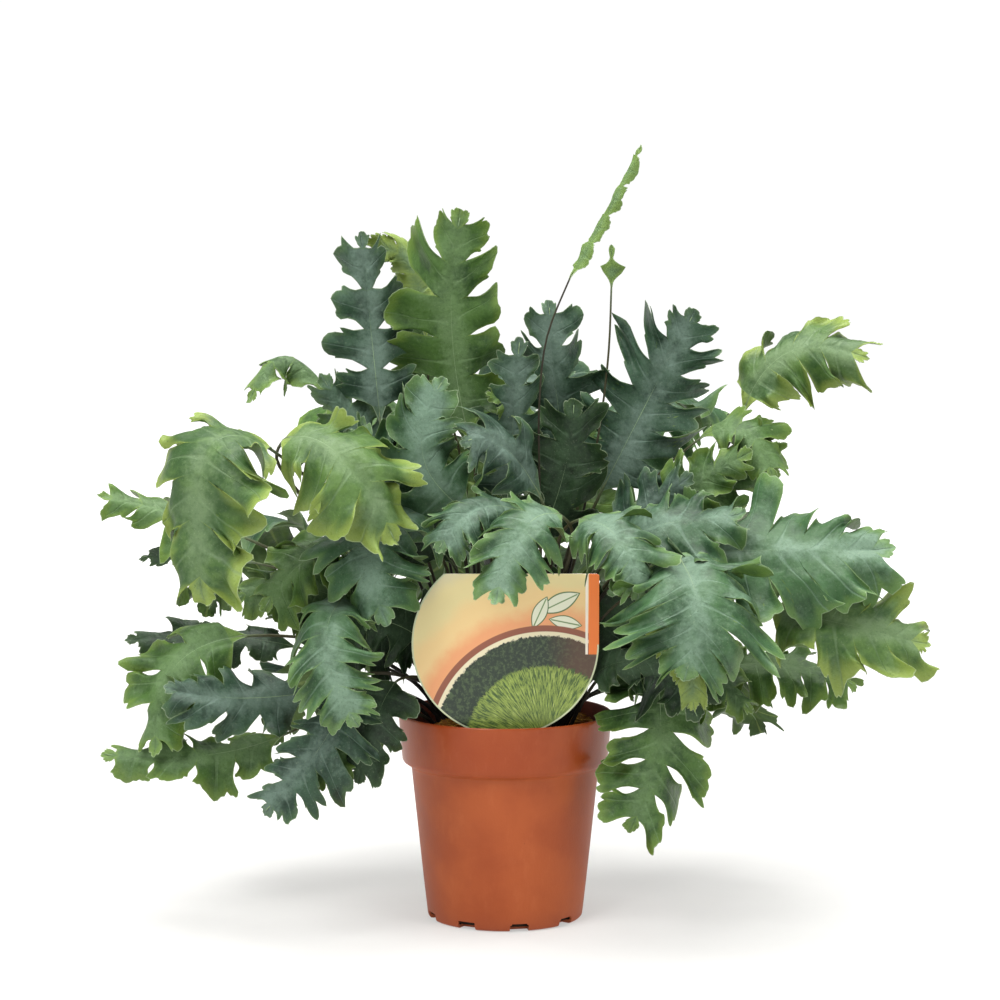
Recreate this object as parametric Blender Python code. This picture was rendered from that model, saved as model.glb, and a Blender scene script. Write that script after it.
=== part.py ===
"""A blue star fern in a 12 cm plastic grower's pot, with a plant label stuck in the soil.

Metres, +Z up. The origin is the middle of the pot's underside, and the label faces -Y.
Each frond grew as one piece, so its stipe and its lobed blade are one solid.
"""

import math

import bmesh
import bpy
from mathutils import Vector
from mathutils.bvhtree import BVHTree

MM = 0.001
GAP = 0.3

# Pot, in millimetres
POT_HEIGHT = 117.0
POT_WALL = 1.2
POT_FLOOR = 1.6
FOOT_RADIUS = 44.0
SHOULDER_RADIUS = 53.4
BAND_RADIUS = 58.4
RIM_RADIUS = 60.5
BAND_HEIGHT = 27.0
BAND_STEP = 3.5
DRAIN_COUNT = 9
DRAIN_FIRST_ANGLE = -39.5
DRAIN_WIDTH = 11.0
DRAIN_HEIGHT = 4.5
DRAIN_DEPTH = 7.0
DRAIN_OVERSHOOT = 4.0
FOOT_BEVEL = 2.0
POT_SIDES = 60
EDGE_ROUND = 0.6
SMOOTH_ANGLE = 35

# Soil
SOIL_EDGE_HEIGHT = 104.0
SOIL_CROWN = 3.0
SOIL_FOOT_CHAMFER = 9.0
SOIL_RINGS = 5

# Plant label
LABEL_RADIUS = 51.5
LABEL_THICKNESS = 0.8
LABEL_BOTTOM = 110.5
LABEL_TOP = 201.0
LABEL_Y = -46.0
LABEL_LEAN = 1.5
SPIKE_WIDTH = 14.0
SPIKE_LENGTH = 36.0
SPIKE_POINT = 12.0
SPIKE_TAPER = 1.5

# Rhizomes
RHIZOME_SIDES = 8
RHIZOME_ROWS = 12
RHIZOME_KNOB = 0.08

# Stipes: they fan out from a focus deep in the pot, and each foot keeps clear of its neighbours
STIPE_RADIUS = 1.0
STIPE_FOOT_RADIUS = 1.5
STIPE_RINGS = 6
STIPE_TURNS = (165, 90, 15, 325, 270, 215)
STIPE_RISE = 0.94
STIPE_SPLAY = 0.34
STIPE_PULL = 1.25
BLADE_PULL = 0.8
FOOT_SPREAD = 41.0
FOOT_SPACING = 5.4
FOOT_CLEARANCE = 2.6
FOOT_PASSES = 80
FOOT_POINT = 0.25
FOCUS_HEIGHT = 55.0

# Blades: a ring of six points for each lobe and each sinus between lobes
RING_SIZE = 6
SINUS_SHARE = 0.42
NECK_SHARE = 0.1
FLESH_SHARE = 0.25
LOBE_LEAN = 0.35
BLADE_THICKNESS = 0.7
CREASE_HEIGHT = 0.5
RIB_DEPTH = 1.5

# Parting the fronds where two blades would cross
PARTING_PASSES = 90
PARTING_STEP = 0.8
PARTING_REACH = 2.2

# Rhizomes creep over the soil: plan points from the growing tip back, radius at the tip and at the root end
RHIZOMES = {
    "rhizome_front_left": ([(-40, -33), (-30, -24), (-17, -17), (-5, -9)], 5.4, 4.2),
    "rhizome_right": ([(47, 6), (37, 10), (28, 8), (19, 12)], 4.8, 3.8),
    "rhizome_back": ([(-16, 45), (-12, 33), (-20, 21), (-14, 9)], 5.0, 4.0),
}

# Each frond: where its blade begins, its middle and its tip, how far a lobe reaches from the midrib, how many
# pairs of lobes, the way its upper side faces, and how much the lobes hang (a share of their reach)
FRONDS = {
    "frond_tall_rolled": ((35, -15, 360), (55, -10, 395), (75, -5, 435), 7, 4, (-6, -7, 3), 0.6),
    "frond_tiny": ((60, 15, 355), (60, 15, 367), (60, 15, 380), 10, 2, (0, -9, 3), 0.1),
    "frond_upright_blue": ((-70, 0, 280), (-75, 0, 330), (-80, -10, 385), 27, 4, (1, -9, 4), 0.1),
    "frond_upright_green": ((-20, 10, 270), (-30, 0, 335), (-25, -25, 395), 37, 5, (0, -9, 3), 0.1),
    "frond_arched_lime": ((-45, 25, 325), (-55, 25, 370), (-78, 20, 375), 11, 3, (-2, -5, 8), 0.2),
    "frond_green_behind": ((-35, 35, 290), (-50, 35, 325), (-60, 35, 350), 16, 3, (0, -9, 4), 0.1),
    "frond_fan_right": ((55, 25, 240), (80, 20, 290), (105, 5, 340), 42, 6, (1, -9, 3), 0.1),
    "frond_fan_left": ((40, 30, 240), (30, 25, 290), (25, 15, 345), 30, 5, (0, -9, 3), 0.1),
    "frond_small_fan": ((20, 10, 275), (5, 5, 290), (-10, 0, 297), 10, 3, (-1, -7, 6), 0.2),
    "frond_crest": ((135, 20, 285), (160, 10, 320), (200, 0, 318), 26, 4, (1, -7, 7), 0.5),
    "frond_crest_low": ((110, 15, 270), (135, 5, 275), (150, -5, 250), 18, 3, (1, -7, 6), 0.3),
    "frond_right_upright": ((105, 15, 220), (130, 10, 250), (150, 5, 275), 20, 3, (2, -8, 5), 0.2),
    "frond_small_arch": ((-100, 25, 290), (-125, 25, 316), (-145, 20, 292), 14, 3, (-1, -5, 8), 0.4),
    "frond_lime_left": ((-125, -70, 270), (-158, -100, 270), (-160, -105, 195), 38, 5, (-3, -7, 7), 0.2),
    "frond_lime_right": ((-120, -60, 275), (-90, -85, 270), (-60, -85, 225), 32, 4, (1, -7, 6), 0.3),
    "frond_fingers": ((-145, 0, 215), (-185, -5, 230), (-225, -10, 240), 24, 4, (-2, -6, 7), 0.2),
    "frond_fingers_low": ((-140, 10, 200), (-175, 5, 205), (-205, 0, 205), 14, 3, (-1, -6, 7), 0.2),
    "frond_mid_left": ((-80, -20, 205), (-105, -50, 210), (-130, -60, 185), 30, 4, (-2, -7, 7), 0.3),
    "frond_mid_left_inner": ((-40, -30, 235), (-70, -65, 220), (-65, -80, 180), 32, 4, (-1, -8, 6), 0.3),
    "frond_pale_left": ((-85, -60, 200), (-95, -100, 170), (-80, -110, 130), 32, 5, (-1, -9, 4), 0.3),
    "frond_dark_left": ((-120, 25, 150), (-165, 20, 157), (-215, 15, 155), 16, 4, (-1, -6, 7), 0.3),
    "frond_leaf_left": ((-145, 0, 160), (-185, -20, 145), (-195, -25, 100), 30, 4, (-3, -8, 5), 0.1),
    "frond_blue_left": ((-110, -15, 130), (-150, -35, 130), (-185, -35, 135), 30, 4, (-1, -8, 5), 0.2),
    "frond_tail_left": ((-125, -10, 105), (-170, -20, 95), (-225, -15, 95), 20, 4, (-1, -7, 6), 0.3),
    "frond_low_left": ((-85, -55, 140), (-100, -75, 110), (-130, -75, 75), 30, 5, (-1, -9, 4), 0.2),
    "frond_low_inner": ((-60, -45, 140), (-70, -65, 125), (-80, -65, 90), 21, 3, (-1, -9, 4), 0.2),
    "frond_centre_grey": ((-20, -30, 230), (-45, -45, 265), (-35, -35, 305), 28, 4, (0, -9, 4), 0.1),
    "frond_centre_left": ((-40, -20, 215), (-65, -35, 250), (-85, -35, 275), 32, 4, (-1, -8, 5), 0.2),
    "frond_centre_right": ((20, -30, 240), (0, -50, 270), (-20, -60, 275), 28, 3, (0, -8, 6), 0.2),
    "frond_centre_low": ((10, -60, 235), (-15, -80, 240), (-35, -90, 220), 24, 4, (0, -7, 7), 0.3),
    "frond_front_middle": ((30, -70, 235), (10, -95, 230), (-5, -110, 195), 27, 4, (0, -8, 6), 0.3),
    "frond_front_right": ((40, -62, 232), (60, -95, 225), (70, -105, 195), 26, 4, (1, -8, 6), 0.3),
    "frond_mid_right": ((55, -35, 205), (85, -60, 225), (125, -70, 235), 32, 4, (1, -7, 7), 0.2),
    "frond_big_right": ((80, -30, 210), (135, -60, 215), (205, -60, 215), 42, 6, (1, -8, 6), 0.2),
    "frond_pale_front": ((90, -80, 220), (100, -115, 195), (95, -125, 160), 44, 5, (1, -9, 4), 0.2),
    "frond_lime_edge": ((145, -40, 180), (185, -65, 175), (225, -65, 165), 34, 4, (2, -8, 5), 0.2),
    "frond_hanging_lobes": ((110, 0, 140), (155, -10, 145), (195, -15, 135), 27, 5, (1, -5, 8), 0.6),
    "frond_hanging_right": ((80, -30, 155), (85, -50, 110), (70, -50, 62), 36, 5, (1, -9, 2), 0.1),
    "frond_lime_lip": ((80, -75, 190), (95, -100, 165), (100, -100, 135), 14, 3, (1, -9, 3), 0.2),
    "frond_beside_label": ((48, -32, 140), (66, -52, 153), (88, -62, 150), 20, 3, (1, -9, 5), 0.2),
    "frond_dark_right": ((35, -20, 160), (65, -40, 180), (80, -50, 200), 28, 3, (1, -9, 4), 0.1),
    "frond_low_right": ((75, -10, 135), (110, -30, 140), (135, -35, 125), 25, 4, (1, -7, 7), 0.3),
    "frond_shade_left": ((-30, 0, 150), (-62, -15, 165), (-95, -25, 150), 30, 4, (-1, -8, 5), 0.2),
    "frond_shade_right": ((40, 5, 150), (75, 0, 165), (110, -5, 160), 28, 4, (1, -8, 5), 0.2),
    "frond_back_high_left": ((-40, 60, 230), (-75, 105, 282), (-115, 150, 262), 42, 5, (-3, 4, 8), 0.2),
    "frond_back_high": ((0, 60, 250), (10, 105, 300), (12, 155, 285), 44, 6, (0, 3, 9), 0.2),
    "frond_back_high_right": ((50, 60, 240), (90, 100, 290), (138, 140, 265), 42, 5, (4, 3, 8), 0.2),
    "frond_back_left": ((-90, 60, 200), (-140, 95, 212), (-180, 120, 160), 42, 5, (-4, 6, 7), 0.2),
    "frond_back_middle": ((-20, 85, 190), (-30, 140, 212), (-40, 188, 160), 46, 5, (-1, 6, 7), 0.2),
    "frond_back_right": ((80, 60, 190), (140, 90, 208), (195, 110, 160), 42, 5, (4, 5, 7), 0.2),
    "frond_back_inner": ((40, 85, 180), (65, 135, 195), (95, 180, 145), 40, 5, (2, 7, 6), 0.2),
    "frond_back_low_left": ((-60, 50, 140), (-105, 92, 132), (-140, 125, 80), 38, 5, (-3, 6, 6), 0.2),
    "frond_back_low": ((0, 65, 140), (5, 115, 142), (5, 160, 90), 40, 5, (0, 7, 6), 0.2),
    "frond_back_low_right": ((60, 45, 140), (110, 80, 135), (155, 110, 90), 38, 5, (3, 6, 6), 0.2),
}

FINISHES = {
    "pot": ((0.50, 0.13, 0.05), 0.42),
    "soil": ((0.030, 0.018, 0.012), 0.95),
    "rhizome": ((0.55, 0.33, 0.07), 0.85),
    "label": ((0.75, 0.55, 0.38), 0.35),
    "frond": ((0.09, 0.20, 0.13), 0.55),
}


def material(name):
    made = bpy.data.materials.get(name)
    if made is None:
        colour, roughness = FINISHES[name]
        made = bpy.data.materials.new(name)
        made.use_nodes = True
        shader = made.node_tree.nodes["Principled BSDF"]
        shader.inputs["Base Color"].default_value = (*colour, 1.0)
        shader.inputs["Roughness"].default_value = roughness
        shader.inputs["Metallic"].default_value = 0.0
    return made


def add_object(name, points, faces, finish):
    """A named mesh object from points in millimetres."""
    mesh = bpy.data.meshes.new(name)
    mesh.from_pydata([Vector(point) * MM for point in points], [], faces)
    body = bmesh.new()
    body.from_mesh(mesh)
    bmesh.ops.recalc_face_normals(body, faces=body.faces)
    body.to_mesh(mesh)
    body.free()
    mesh.materials.append(material(finish))
    made = bpy.data.objects.new(name, mesh)
    bpy.context.scene.collection.objects.link(made)
    return made


def ring_faces(rows, size):
    """Quads between rows of points, each row a closed ring of this size."""
    faces = []
    for row in range(rows - 1):
        for k in range(size):
            after = (k + 1) % size
            here = row * size
            faces.append((here + k, here + after, here + size + after, here + size + k))
    return faces


def turned(name, profile, finish):
    """Turns a profile of (radius, height) pairs that starts and ends on the axis."""
    rings = [row for row in profile if row[0] > 0]
    points = []
    for radius, height in rings:
        for k in range(POT_SIDES):
            turn = 2 * math.pi * k / POT_SIDES
            points.append((radius * math.cos(turn), radius * math.sin(turn), height))
    faces = ring_faces(len(rings), POT_SIDES)
    last = (len(rings) - 1) * POT_SIDES
    for start, pole in ((0, profile[0]), (last, profile[-1])):
        points.append((0.0, 0.0, pole[1]))
        for k in range(POT_SIDES):
            faces.append((start + k, start + (k + 1) % POT_SIDES, len(points) - 1))
    made = add_object(name, points, faces, finish)
    made.data.shade_smooth()
    made.data.set_sharp_from_angle(angle=math.radians(SMOOTH_ANGLE))
    return made


def box(name, size, place, turn_z):
    bpy.ops.mesh.primitive_cube_add(size=1.0)
    made = bpy.context.active_object
    made.name = name
    made.data.transform(made.matrix_world.Diagonal((*(side * MM for side in size), 1.0)))
    made.location = Vector(place) * MM
    made.rotation_euler.z = turn_z
    return made


def cut(target, cutter):
    cutter.hide_render = True
    cutter.display_type = "WIRE"
    modifier = target.modifiers.new(cutter.name, "BOOLEAN")
    modifier.operation = "DIFFERENCE"
    modifier.solver = "EXACT"
    modifier.object = cutter


def wall_radius(height):
    """Outer radius of the tapered wall under the rim band."""
    share = height / (POT_HEIGHT - BAND_HEIGHT)
    return FOOT_RADIUS + (SHOULDER_RADIUS - FOOT_RADIUS) * share


def make_pot():
    band_foot = POT_HEIGHT - BAND_HEIGHT
    profile = [
        (0.0, 0.0),
        (FOOT_RADIUS - FOOT_BEVEL, 0.0),
        (FOOT_RADIUS, FOOT_BEVEL),
        (SHOULDER_RADIUS, band_foot - BAND_STEP),
        (BAND_RADIUS - EDGE_ROUND, band_foot),
        (BAND_RADIUS, band_foot + 1.5),
        (RIM_RADIUS, POT_HEIGHT - EDGE_ROUND),
        (RIM_RADIUS - EDGE_ROUND, POT_HEIGHT),
        (RIM_RADIUS - POT_WALL, POT_HEIGHT),
        (BAND_RADIUS - POT_WALL, band_foot + 2.5),
        (SHOULDER_RADIUS - POT_WALL, band_foot - BAND_STEP - 1.0),
        (wall_radius(POT_FLOOR) - POT_WALL, POT_FLOOR),
        (0.0, POT_FLOOR),
    ]
    pot = turned("grower_pot", profile, "pot")
    drains = []
    for k in range(DRAIN_COUNT):
        angle = math.radians(DRAIN_FIRST_ANGLE + k * 360.0 / DRAIN_COUNT)
        reach = FOOT_RADIUS - DRAIN_DEPTH / 2 + DRAIN_OVERSHOOT / 2
        place = (reach * math.cos(angle), reach * math.sin(angle), 0.0)
        size = (DRAIN_DEPTH + DRAIN_OVERSHOOT, DRAIN_WIDTH, 2 * DRAIN_HEIGHT)
        drain = box(f"drain_{k}", size, place, angle)
        drains.append(drain)
        cut(pot, drain)
    return pot, drains


def soil_height(x, y):
    """Top of the soil under a point of the plan."""
    share = min(1.0, math.hypot(x, y) / (BAND_RADIUS - POT_WALL))
    return SOIL_EDGE_HEIGHT + SOIL_CROWN * (1 - share * share)


def make_soil():
    """The root ball: it keeps a small gap to the pot's wall, and the label's spike has its own slot."""
    band_foot = POT_HEIGHT - BAND_HEIGHT
    inset = POT_WALL + GAP
    edge = BAND_RADIUS - inset + 0.6
    profile = [
        (0.0, POT_FLOOR + GAP),
        (wall_radius(POT_FLOOR) - inset - SOIL_FOOT_CHAMFER, POT_FLOOR + GAP),
        (wall_radius(SOIL_FOOT_CHAMFER) - inset, POT_FLOOR + SOIL_FOOT_CHAMFER),
        (SHOULDER_RADIUS - inset, band_foot - BAND_STEP - 1.0),
        (BAND_RADIUS - inset, band_foot + 2.8),
        (edge, soil_height(edge, 0.0)),
    ]
    for k in range(SOIL_RINGS - 1, 0, -1):
        radius = edge * k / SOIL_RINGS
        profile.append((radius, soil_height(radius, 0.0)))
    profile.append((0.0, soil_height(0.0, 0.0)))
    return turned("potting_soil", profile, "soil")


def label_outline():
    """Card outline in its own plane: a disc with a square upper right corner and a pointed spike."""
    middle = LABEL_BOTTOM + LABEL_RADIUS
    outline = []
    spike_turn = math.asin(SPIKE_WIDTH / 2 / LABEL_RADIUS)
    start = -math.pi / 2 + spike_turn
    for k in range(10):
        turn = start * (1 - k / 9)
        outline.append((LABEL_RADIUS * math.cos(turn), middle + LABEL_RADIUS * math.sin(turn)))
    outline.append((LABEL_RADIUS, LABEL_TOP))
    crown = math.asin((LABEL_TOP - middle) / LABEL_RADIUS)
    for k in range(16):
        turn = math.pi - crown + (math.pi / 2 - spike_turn + crown) * k / 15
        outline.append((LABEL_RADIUS * math.cos(turn), middle + LABEL_RADIUS * math.sin(turn)))
    spike_foot = LABEL_BOTTOM - SPIKE_LENGTH
    outline.append((-SPIKE_WIDTH / 2 + SPIKE_TAPER, spike_foot + SPIKE_POINT))
    outline.append((0.0, spike_foot))
    outline.append((SPIKE_WIDTH / 2 - SPIKE_TAPER, spike_foot + SPIKE_POINT))
    return outline


def label_point(across, height, depth):
    """A point of the leaning card, in the pot's frame."""
    lean = math.radians(LABEL_LEAN)
    up = height - LABEL_BOTTOM
    y = LABEL_Y + depth * math.cos(lean) - up * math.sin(lean)
    z = LABEL_BOTTOM + up * math.cos(lean) + depth * math.sin(lean)
    return (across, y, z)


def plate(name, outline, thickness, finish):
    count = len(outline)
    points = [label_point(x, h, -thickness / 2) for x, h in outline]
    points += [label_point(x, h, thickness / 2) for x, h in outline]
    faces = ring_faces(2, count)
    faces.append(tuple(range(count)))
    faces.append(tuple(range(2 * count - 1, count - 1, -1)))
    return add_object(name, points, faces, finish)


def make_label(soil):
    card = plate("plant_label", label_outline(), LABEL_THICKNESS, "label")
    side = SPIKE_WIDTH / 2 + GAP
    low = LABEL_BOTTOM - SPIKE_LENGTH - GAP
    slot_outline = [(side, LABEL_BOTTOM), (-side, LABEL_BOTTOM), (-side, low), (side, low)]
    slot = plate("label_slot", slot_outline, LABEL_THICKNESS + 2 * GAP, "soil")
    cut(soil, slot)
    return card, slot


def curve_point(points, share):
    """A point on the smooth curve through the given points (Catmull-Rom)."""
    spans = len(points) - 1
    k = min(int(share * spans), spans - 1)
    t = share * spans - k
    here, after = points[k], points[k + 1]
    before = points[k - 1] if k > 0 else 2 * here - after
    beyond = points[k + 2] if k + 2 < len(points) else 2 * after - here
    pull = -before + 3 * here - 3 * after + beyond
    bend = 2 * before - 5 * here + 4 * after - beyond
    return 0.5 * (2 * here + (after - before) * t + bend * t * t + pull * t * t * t)


def tube(rings, name, finish):
    """A closed body through rings of points, with a pole in front of the first and behind the last."""
    size = len(rings[1]) - 1
    points = [point for ring in rings[1:-1] for point in ring[:-1]]
    rows = len(rings) - 2
    faces = ring_faces(rows, size)
    for start, pole in ((0, rings[0][-1]), ((rows - 1) * size, rings[-1][-1])):
        points.append(pole)
        for k in range(size):
            faces.append((start + k, start + (k + 1) % size, len(points) - 1))
    made = add_object(name, points, faces, finish)
    body = bmesh.new()  # the bent quads are split along the diagonal that keeps them clear of each other
    body.from_mesh(made.data)
    bmesh.ops.triangulate(body, faces=body.faces, quad_method="BEAUTY")
    body.to_mesh(made.data)
    body.free()
    return made


def rhizome_height(centre, radius):
    return soil_height(centre.x, centre.y) + 2 * GAP + radius


def make_rhizome(name, plan, tip_radius, root_radius):
    """A creeping stem lying on the soil, blunt at its growing tip."""
    last_row = RHIZOME_ROWS - 1
    centres = [Vector((x, y, 0.0)) for x, y in plan]
    line = []
    for row in range(RHIZOME_ROWS):
        share = row / last_row
        centre = curve_point(centres, share)
        radius = tip_radius + (root_radius - tip_radius) * share
        radius *= min(1.0, 0.55 + 2.5 * min(share, 1 - share))
        knob = 1 + RHIZOME_KNOB * math.sin(9.0 * share + plan[0][0])
        line.append((centre, radius * knob))
    rings = []
    for row, (centre, radius) in enumerate(line):
        ahead = line[min(row + 1, last_row)][0] - line[max(row - 1, 0)][0]
        along = ahead.normalized()
        side = along.cross(Vector((0, 0, 1)))
        lift = Vector((centre.x, centre.y, rhizome_height(centre, radius)))
        ring = []
        for k in range(RHIZOME_SIDES):
            turn = 2 * math.pi * (k + 0.5) / RHIZOME_SIDES
            rise = Vector((0, 0, radius * math.sin(turn)))
            ring.append(lift + side * radius * math.cos(turn) + rise)
        rings.append(ring + [lift])
    first, last = rings[0][-1], rings[-1][-1]
    nose = first + (first - rings[1][-1]).normalized() * line[0][1] * 0.5
    heel = last + (last - rings[-2][-1]).normalized() * line[-1][1] * 0.4
    body = tube([[nose], *rings, [heel]], name, "rhizome")
    body.data.shade_smooth()
    return line


def seat(foot, creepers):
    """Sets a stipe's foot on the soil, or on top of the rhizome that it grows from."""
    plan = Vector((foot.x, foot.y, 0.0))
    near = [(centre, radius) for line in creepers for centre, radius in line]
    for _ in range(4):
        centre, radius = min(near, key=lambda spot: (spot[0] - plan).length - spot[1])
        off = (centre - plan).length
        if off < 0.9 * radius:
            return Vector((centre.x, centre.y, rhizome_height(centre, radius) + radius + GAP))
        if off < radius + FOOT_CLEARANCE:
            plan = centre + (plan - centre).normalized() * (radius + FOOT_CLEARANCE)
    return Vector((plan.x, plan.y, soil_height(plan.x, plan.y) + GAP))


def stipe_feet(creepers):
    """Stipes spread from a point deep in the pot, so that few would cross, and stand a little apart."""
    feet = {}
    for name, spec in FRONDS.items():
        out = Vector(spec[0][:2])
        rise = math.atan2(spec[0][2] - FOCUS_HEIGHT, out.length)
        out = out.normalized() * FOOT_SPREAD * math.cos(rise)
        feet[name] = Vector((out.x, out.y, 0.0))
    names = list(feet)
    for _ in range(FOOT_PASSES):
        for i, a in enumerate(names):
            for b in names[i + 1 :]:
                apart = feet[a] - feet[b]
                if apart.length < FOOT_SPACING:
                    push = apart.normalized() * (FOOT_SPACING - apart.length) / 2
                    feet[a] = feet[a] + push
                    feet[b] = feet[b] - push
    return {name: seat(foot, creepers) for name, foot in feet.items()}


def frond_line(foot, base, middle, tip, lobes):
    """Centres along the stipe and the blade, with the share of full reach at each."""
    pull = 2 * middle - (base + tip) / 2
    leave = (pull - base).normalized()
    length = (base - foot).length
    outward = Vector((base.x, base.y, 0.0)).normalized()
    start = (Vector((0, 0, STIPE_RISE)) + outward * STIPE_SPLAY) * length * STIPE_PULL
    foot = foot + Vector((0, 0, FOOT_POINT))
    end = leave * length * BLADE_PULL
    line = []
    for row in range(STIPE_RINGS):
        t = row / STIPE_RINGS
        centre = foot * (2 * t**3 - 3 * t**2 + 1) + start * (t**3 - 2 * t**2 + t)
        centre += base * (3 * t**2 - 2 * t**3) + end * (t**3 - t**2)
        line.append((centre, 0.0))
    for row in range(2 * lobes + 2):
        t = row / (2 * lobes + 1.6)
        centre = base * (1 - t) ** 2 + pull * 2 * t * (1 - t) + tip * t * t
        full = math.sin(math.pi * (0.2 + 0.74 * t)) ** 0.7
        share = full if row % 2 == 0 else full * SINUS_SHARE
        line.append((centre, NECK_SHARE if row == 0 else share))
    return line


def frond_rings(foot, spec):
    """Rings of six points (left, top, right, back right, rib, back left), then the ring's middle."""
    base, middle, tip = (Vector(point) for point in spec[:3])
    reach, lobes, facing, hang = spec[3:]
    line = frond_line(foot, base, middle, tip, lobes)
    centres = [centre for centre, share in line] + [tip]
    along = []
    for row in range(len(line)):
        before = centres[max(row - 1, 0)]
        along.append((centres[row + 1] - before).normalized())
    along[0] = Vector((0, 0, 1))
    normals = [None] * len(line)
    first = STIPE_RINGS + lobes
    normal = Vector(facing)
    for row in list(range(first, len(line))) + list(range(first - 1, -1, -1)):
        if row == first - 1:
            normal = normals[first]
        normal = (normal - normal.dot(along[row]) * along[row]).normalized()
        normals[row] = normal
    rings = []
    for row, (centre, share) in enumerate(line):
        rings.append(frond_ring(centre, along[row], normals[row], row, share * reach, hang))
    return [[foot]] + rings + [[tip]]


def frond_ring(centre, along, normal, row, width, hang):
    side = along.cross(normal)
    if width == 0.0:
        thin = row / STIPE_RINGS
        radius = STIPE_FOOT_RADIUS + (STIPE_RADIUS - STIPE_FOOT_RADIUS) * thin
        ring = []
        for turn in STIPE_TURNS:
            out = side * math.cos(math.radians(turn)) + normal * math.sin(math.radians(turn))
            ring.append(centre + out * radius)
        return ring + [centre]
    lean = along * width * LOBE_LEAN
    drop = hang * width
    inner = FLESH_SHARE * width
    left = centre - side * width + lean - normal * drop
    right = centre + side * width + lean - normal * drop
    under = normal * (BLADE_THICKNESS + hang * inner)
    back_left = centre - side * inner - under
    back_right = centre + side * inner - under
    top = centre + normal * CREASE_HEIGHT
    rib = centre - normal * RIB_DEPTH
    return [left, top, right, back_right, rib, back_left, centre]


def frond_tree(rings):
    """A search tree of one frond's faces, and the ring that each face belongs to."""
    points = [point for ring in rings for point in (ring[:-1] if len(ring) > 1 else ring)]
    faces = []
    rows = len(rings) - 2
    owner = []
    for row in range(rows - 1):
        for k in range(RING_SIZE):
            here = 1 + row * RING_SIZE
            after = (k + 1) % RING_SIZE
            faces.append((here + k, here + after, here + RING_SIZE + after))
            faces.append((here + k, here + RING_SIZE + after, here + RING_SIZE + k))
            owner += [row, row]
    last = 1 + (rows - 1) * RING_SIZE
    for k in range(RING_SIZE):
        faces.append((last + k, last + (k + 1) % RING_SIZE, len(points) - 1))
        owner.append(rows - 1)
    return BVHTree.FromPolygons(points, faces), owner


def upper_normal(ring):
    left, top, right, under = ring[0], ring[1], ring[2], ring[4]
    across = right - left
    normal = top - under
    return (normal - normal.dot(across) / across.length_squared * across).normalized()


def move_rings(rings, middle, push):
    """Moves the rings near one, less and less with distance, and never the foot."""
    count = len(rings)
    for row in range(2, count):
        near = math.exp(-(((row - middle) / PARTING_REACH) ** 2))
        free = min(1.0, (row - 1) / STIPE_RINGS)
        for k in range(len(rings[row])):
            rings[row][k] = rings[row][k] + push * near * free


def part_fronds(fronds):
    """Blades that would cross are pushed apart, each to the side that it already lies on."""
    sides = {}
    names = list(fronds)
    left_over = []
    for turn in range(PARTING_PASSES):
        trees = {name: frond_tree(rings) for name, rings in fronds.items()}
        left_over = []
        for i, a in enumerate(names):
            for b in names[i + 1 :]:
                hits = trees[a][0].overlap(trees[b][0])
                if not hits:
                    continue
                row_a = sum(trees[a][1][hit[0]] for hit in hits) / len(hits) + 1
                row_b = sum(trees[b][1][hit[1]] for hit in hits) / len(hits) + 1
                left_over.append((a, b, len(hits)))
                part_pair(fronds, a, b, row_a, row_b, sides)
        if not left_over:
            break
    return left_over


def part_pair(fronds, a, b, row_a, row_b, sides):
    ring_a = fronds[a][min(round(row_a), len(fronds[a]) - 2)]
    ring_b = fronds[b][min(round(row_b), len(fronds[b]) - 2)]
    wide_a = (ring_a[0] - ring_a[2]).length
    wide_b = (ring_b[0] - ring_b[2]).length
    normal_a, normal_b = upper_normal(ring_a), upper_normal(ring_b)
    if normal_a.dot(normal_b) < 0:
        normal_a = -normal_a
    normal = (normal_a * wide_a + normal_b * wide_b).normalized()
    if (a, b) not in sides:
        apart = middle_of(fronds[a], row_a) - middle_of(fronds[b], row_b)
        sides[a, b] = 1 if apart.dot(normal) > 0 else -1
    if wide_a + wide_b < 8 * STIPE_RADIUS:
        normal = (ring_a[-1] - ring_b[-1]).normalized()
        sides[a, b] = 1
    push = normal * PARTING_STEP * sides[a, b]
    move_rings(fronds[a], row_a, push)
    move_rings(fronds[b], row_b, -push)


def middle_of(rings, row):
    low = max(1, int(row) - 3)
    near = [ring[-1] for ring in rings[low : int(row) + 4]]
    return sum(near, Vector()) / len(near)


def main():
    for old in list(bpy.data.objects):
        bpy.data.objects.remove(old, do_unlink=True)
    holder = bpy.data.objects.new("plant", None)
    bpy.context.scene.collection.objects.link(holder)
    pot, drains = make_pot()
    soil = make_soil()
    card, slot = make_label(soil)
    for piece in (pot, soil, card, slot, *drains):
        piece.parent = holder
    creepers = []
    for name, (plan, tip_radius, root_radius) in RHIZOMES.items():
        creepers.append(make_rhizome(name, plan, tip_radius, root_radius))
    feet = stipe_feet(creepers)
    fronds = {name: frond_rings(feet[name], spec) for name, spec in FRONDS.items()}
    left_over = part_fronds(fronds)
    for a, b, count in left_over:
        print("still crossing:", a, b, count)
    for name, rings in fronds.items():
        frond = tube(rings, name, "frond")
        frond.parent = holder


main()
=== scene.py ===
import math

import bmesh
import bpy
import numpy as np
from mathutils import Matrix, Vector, noise


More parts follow.
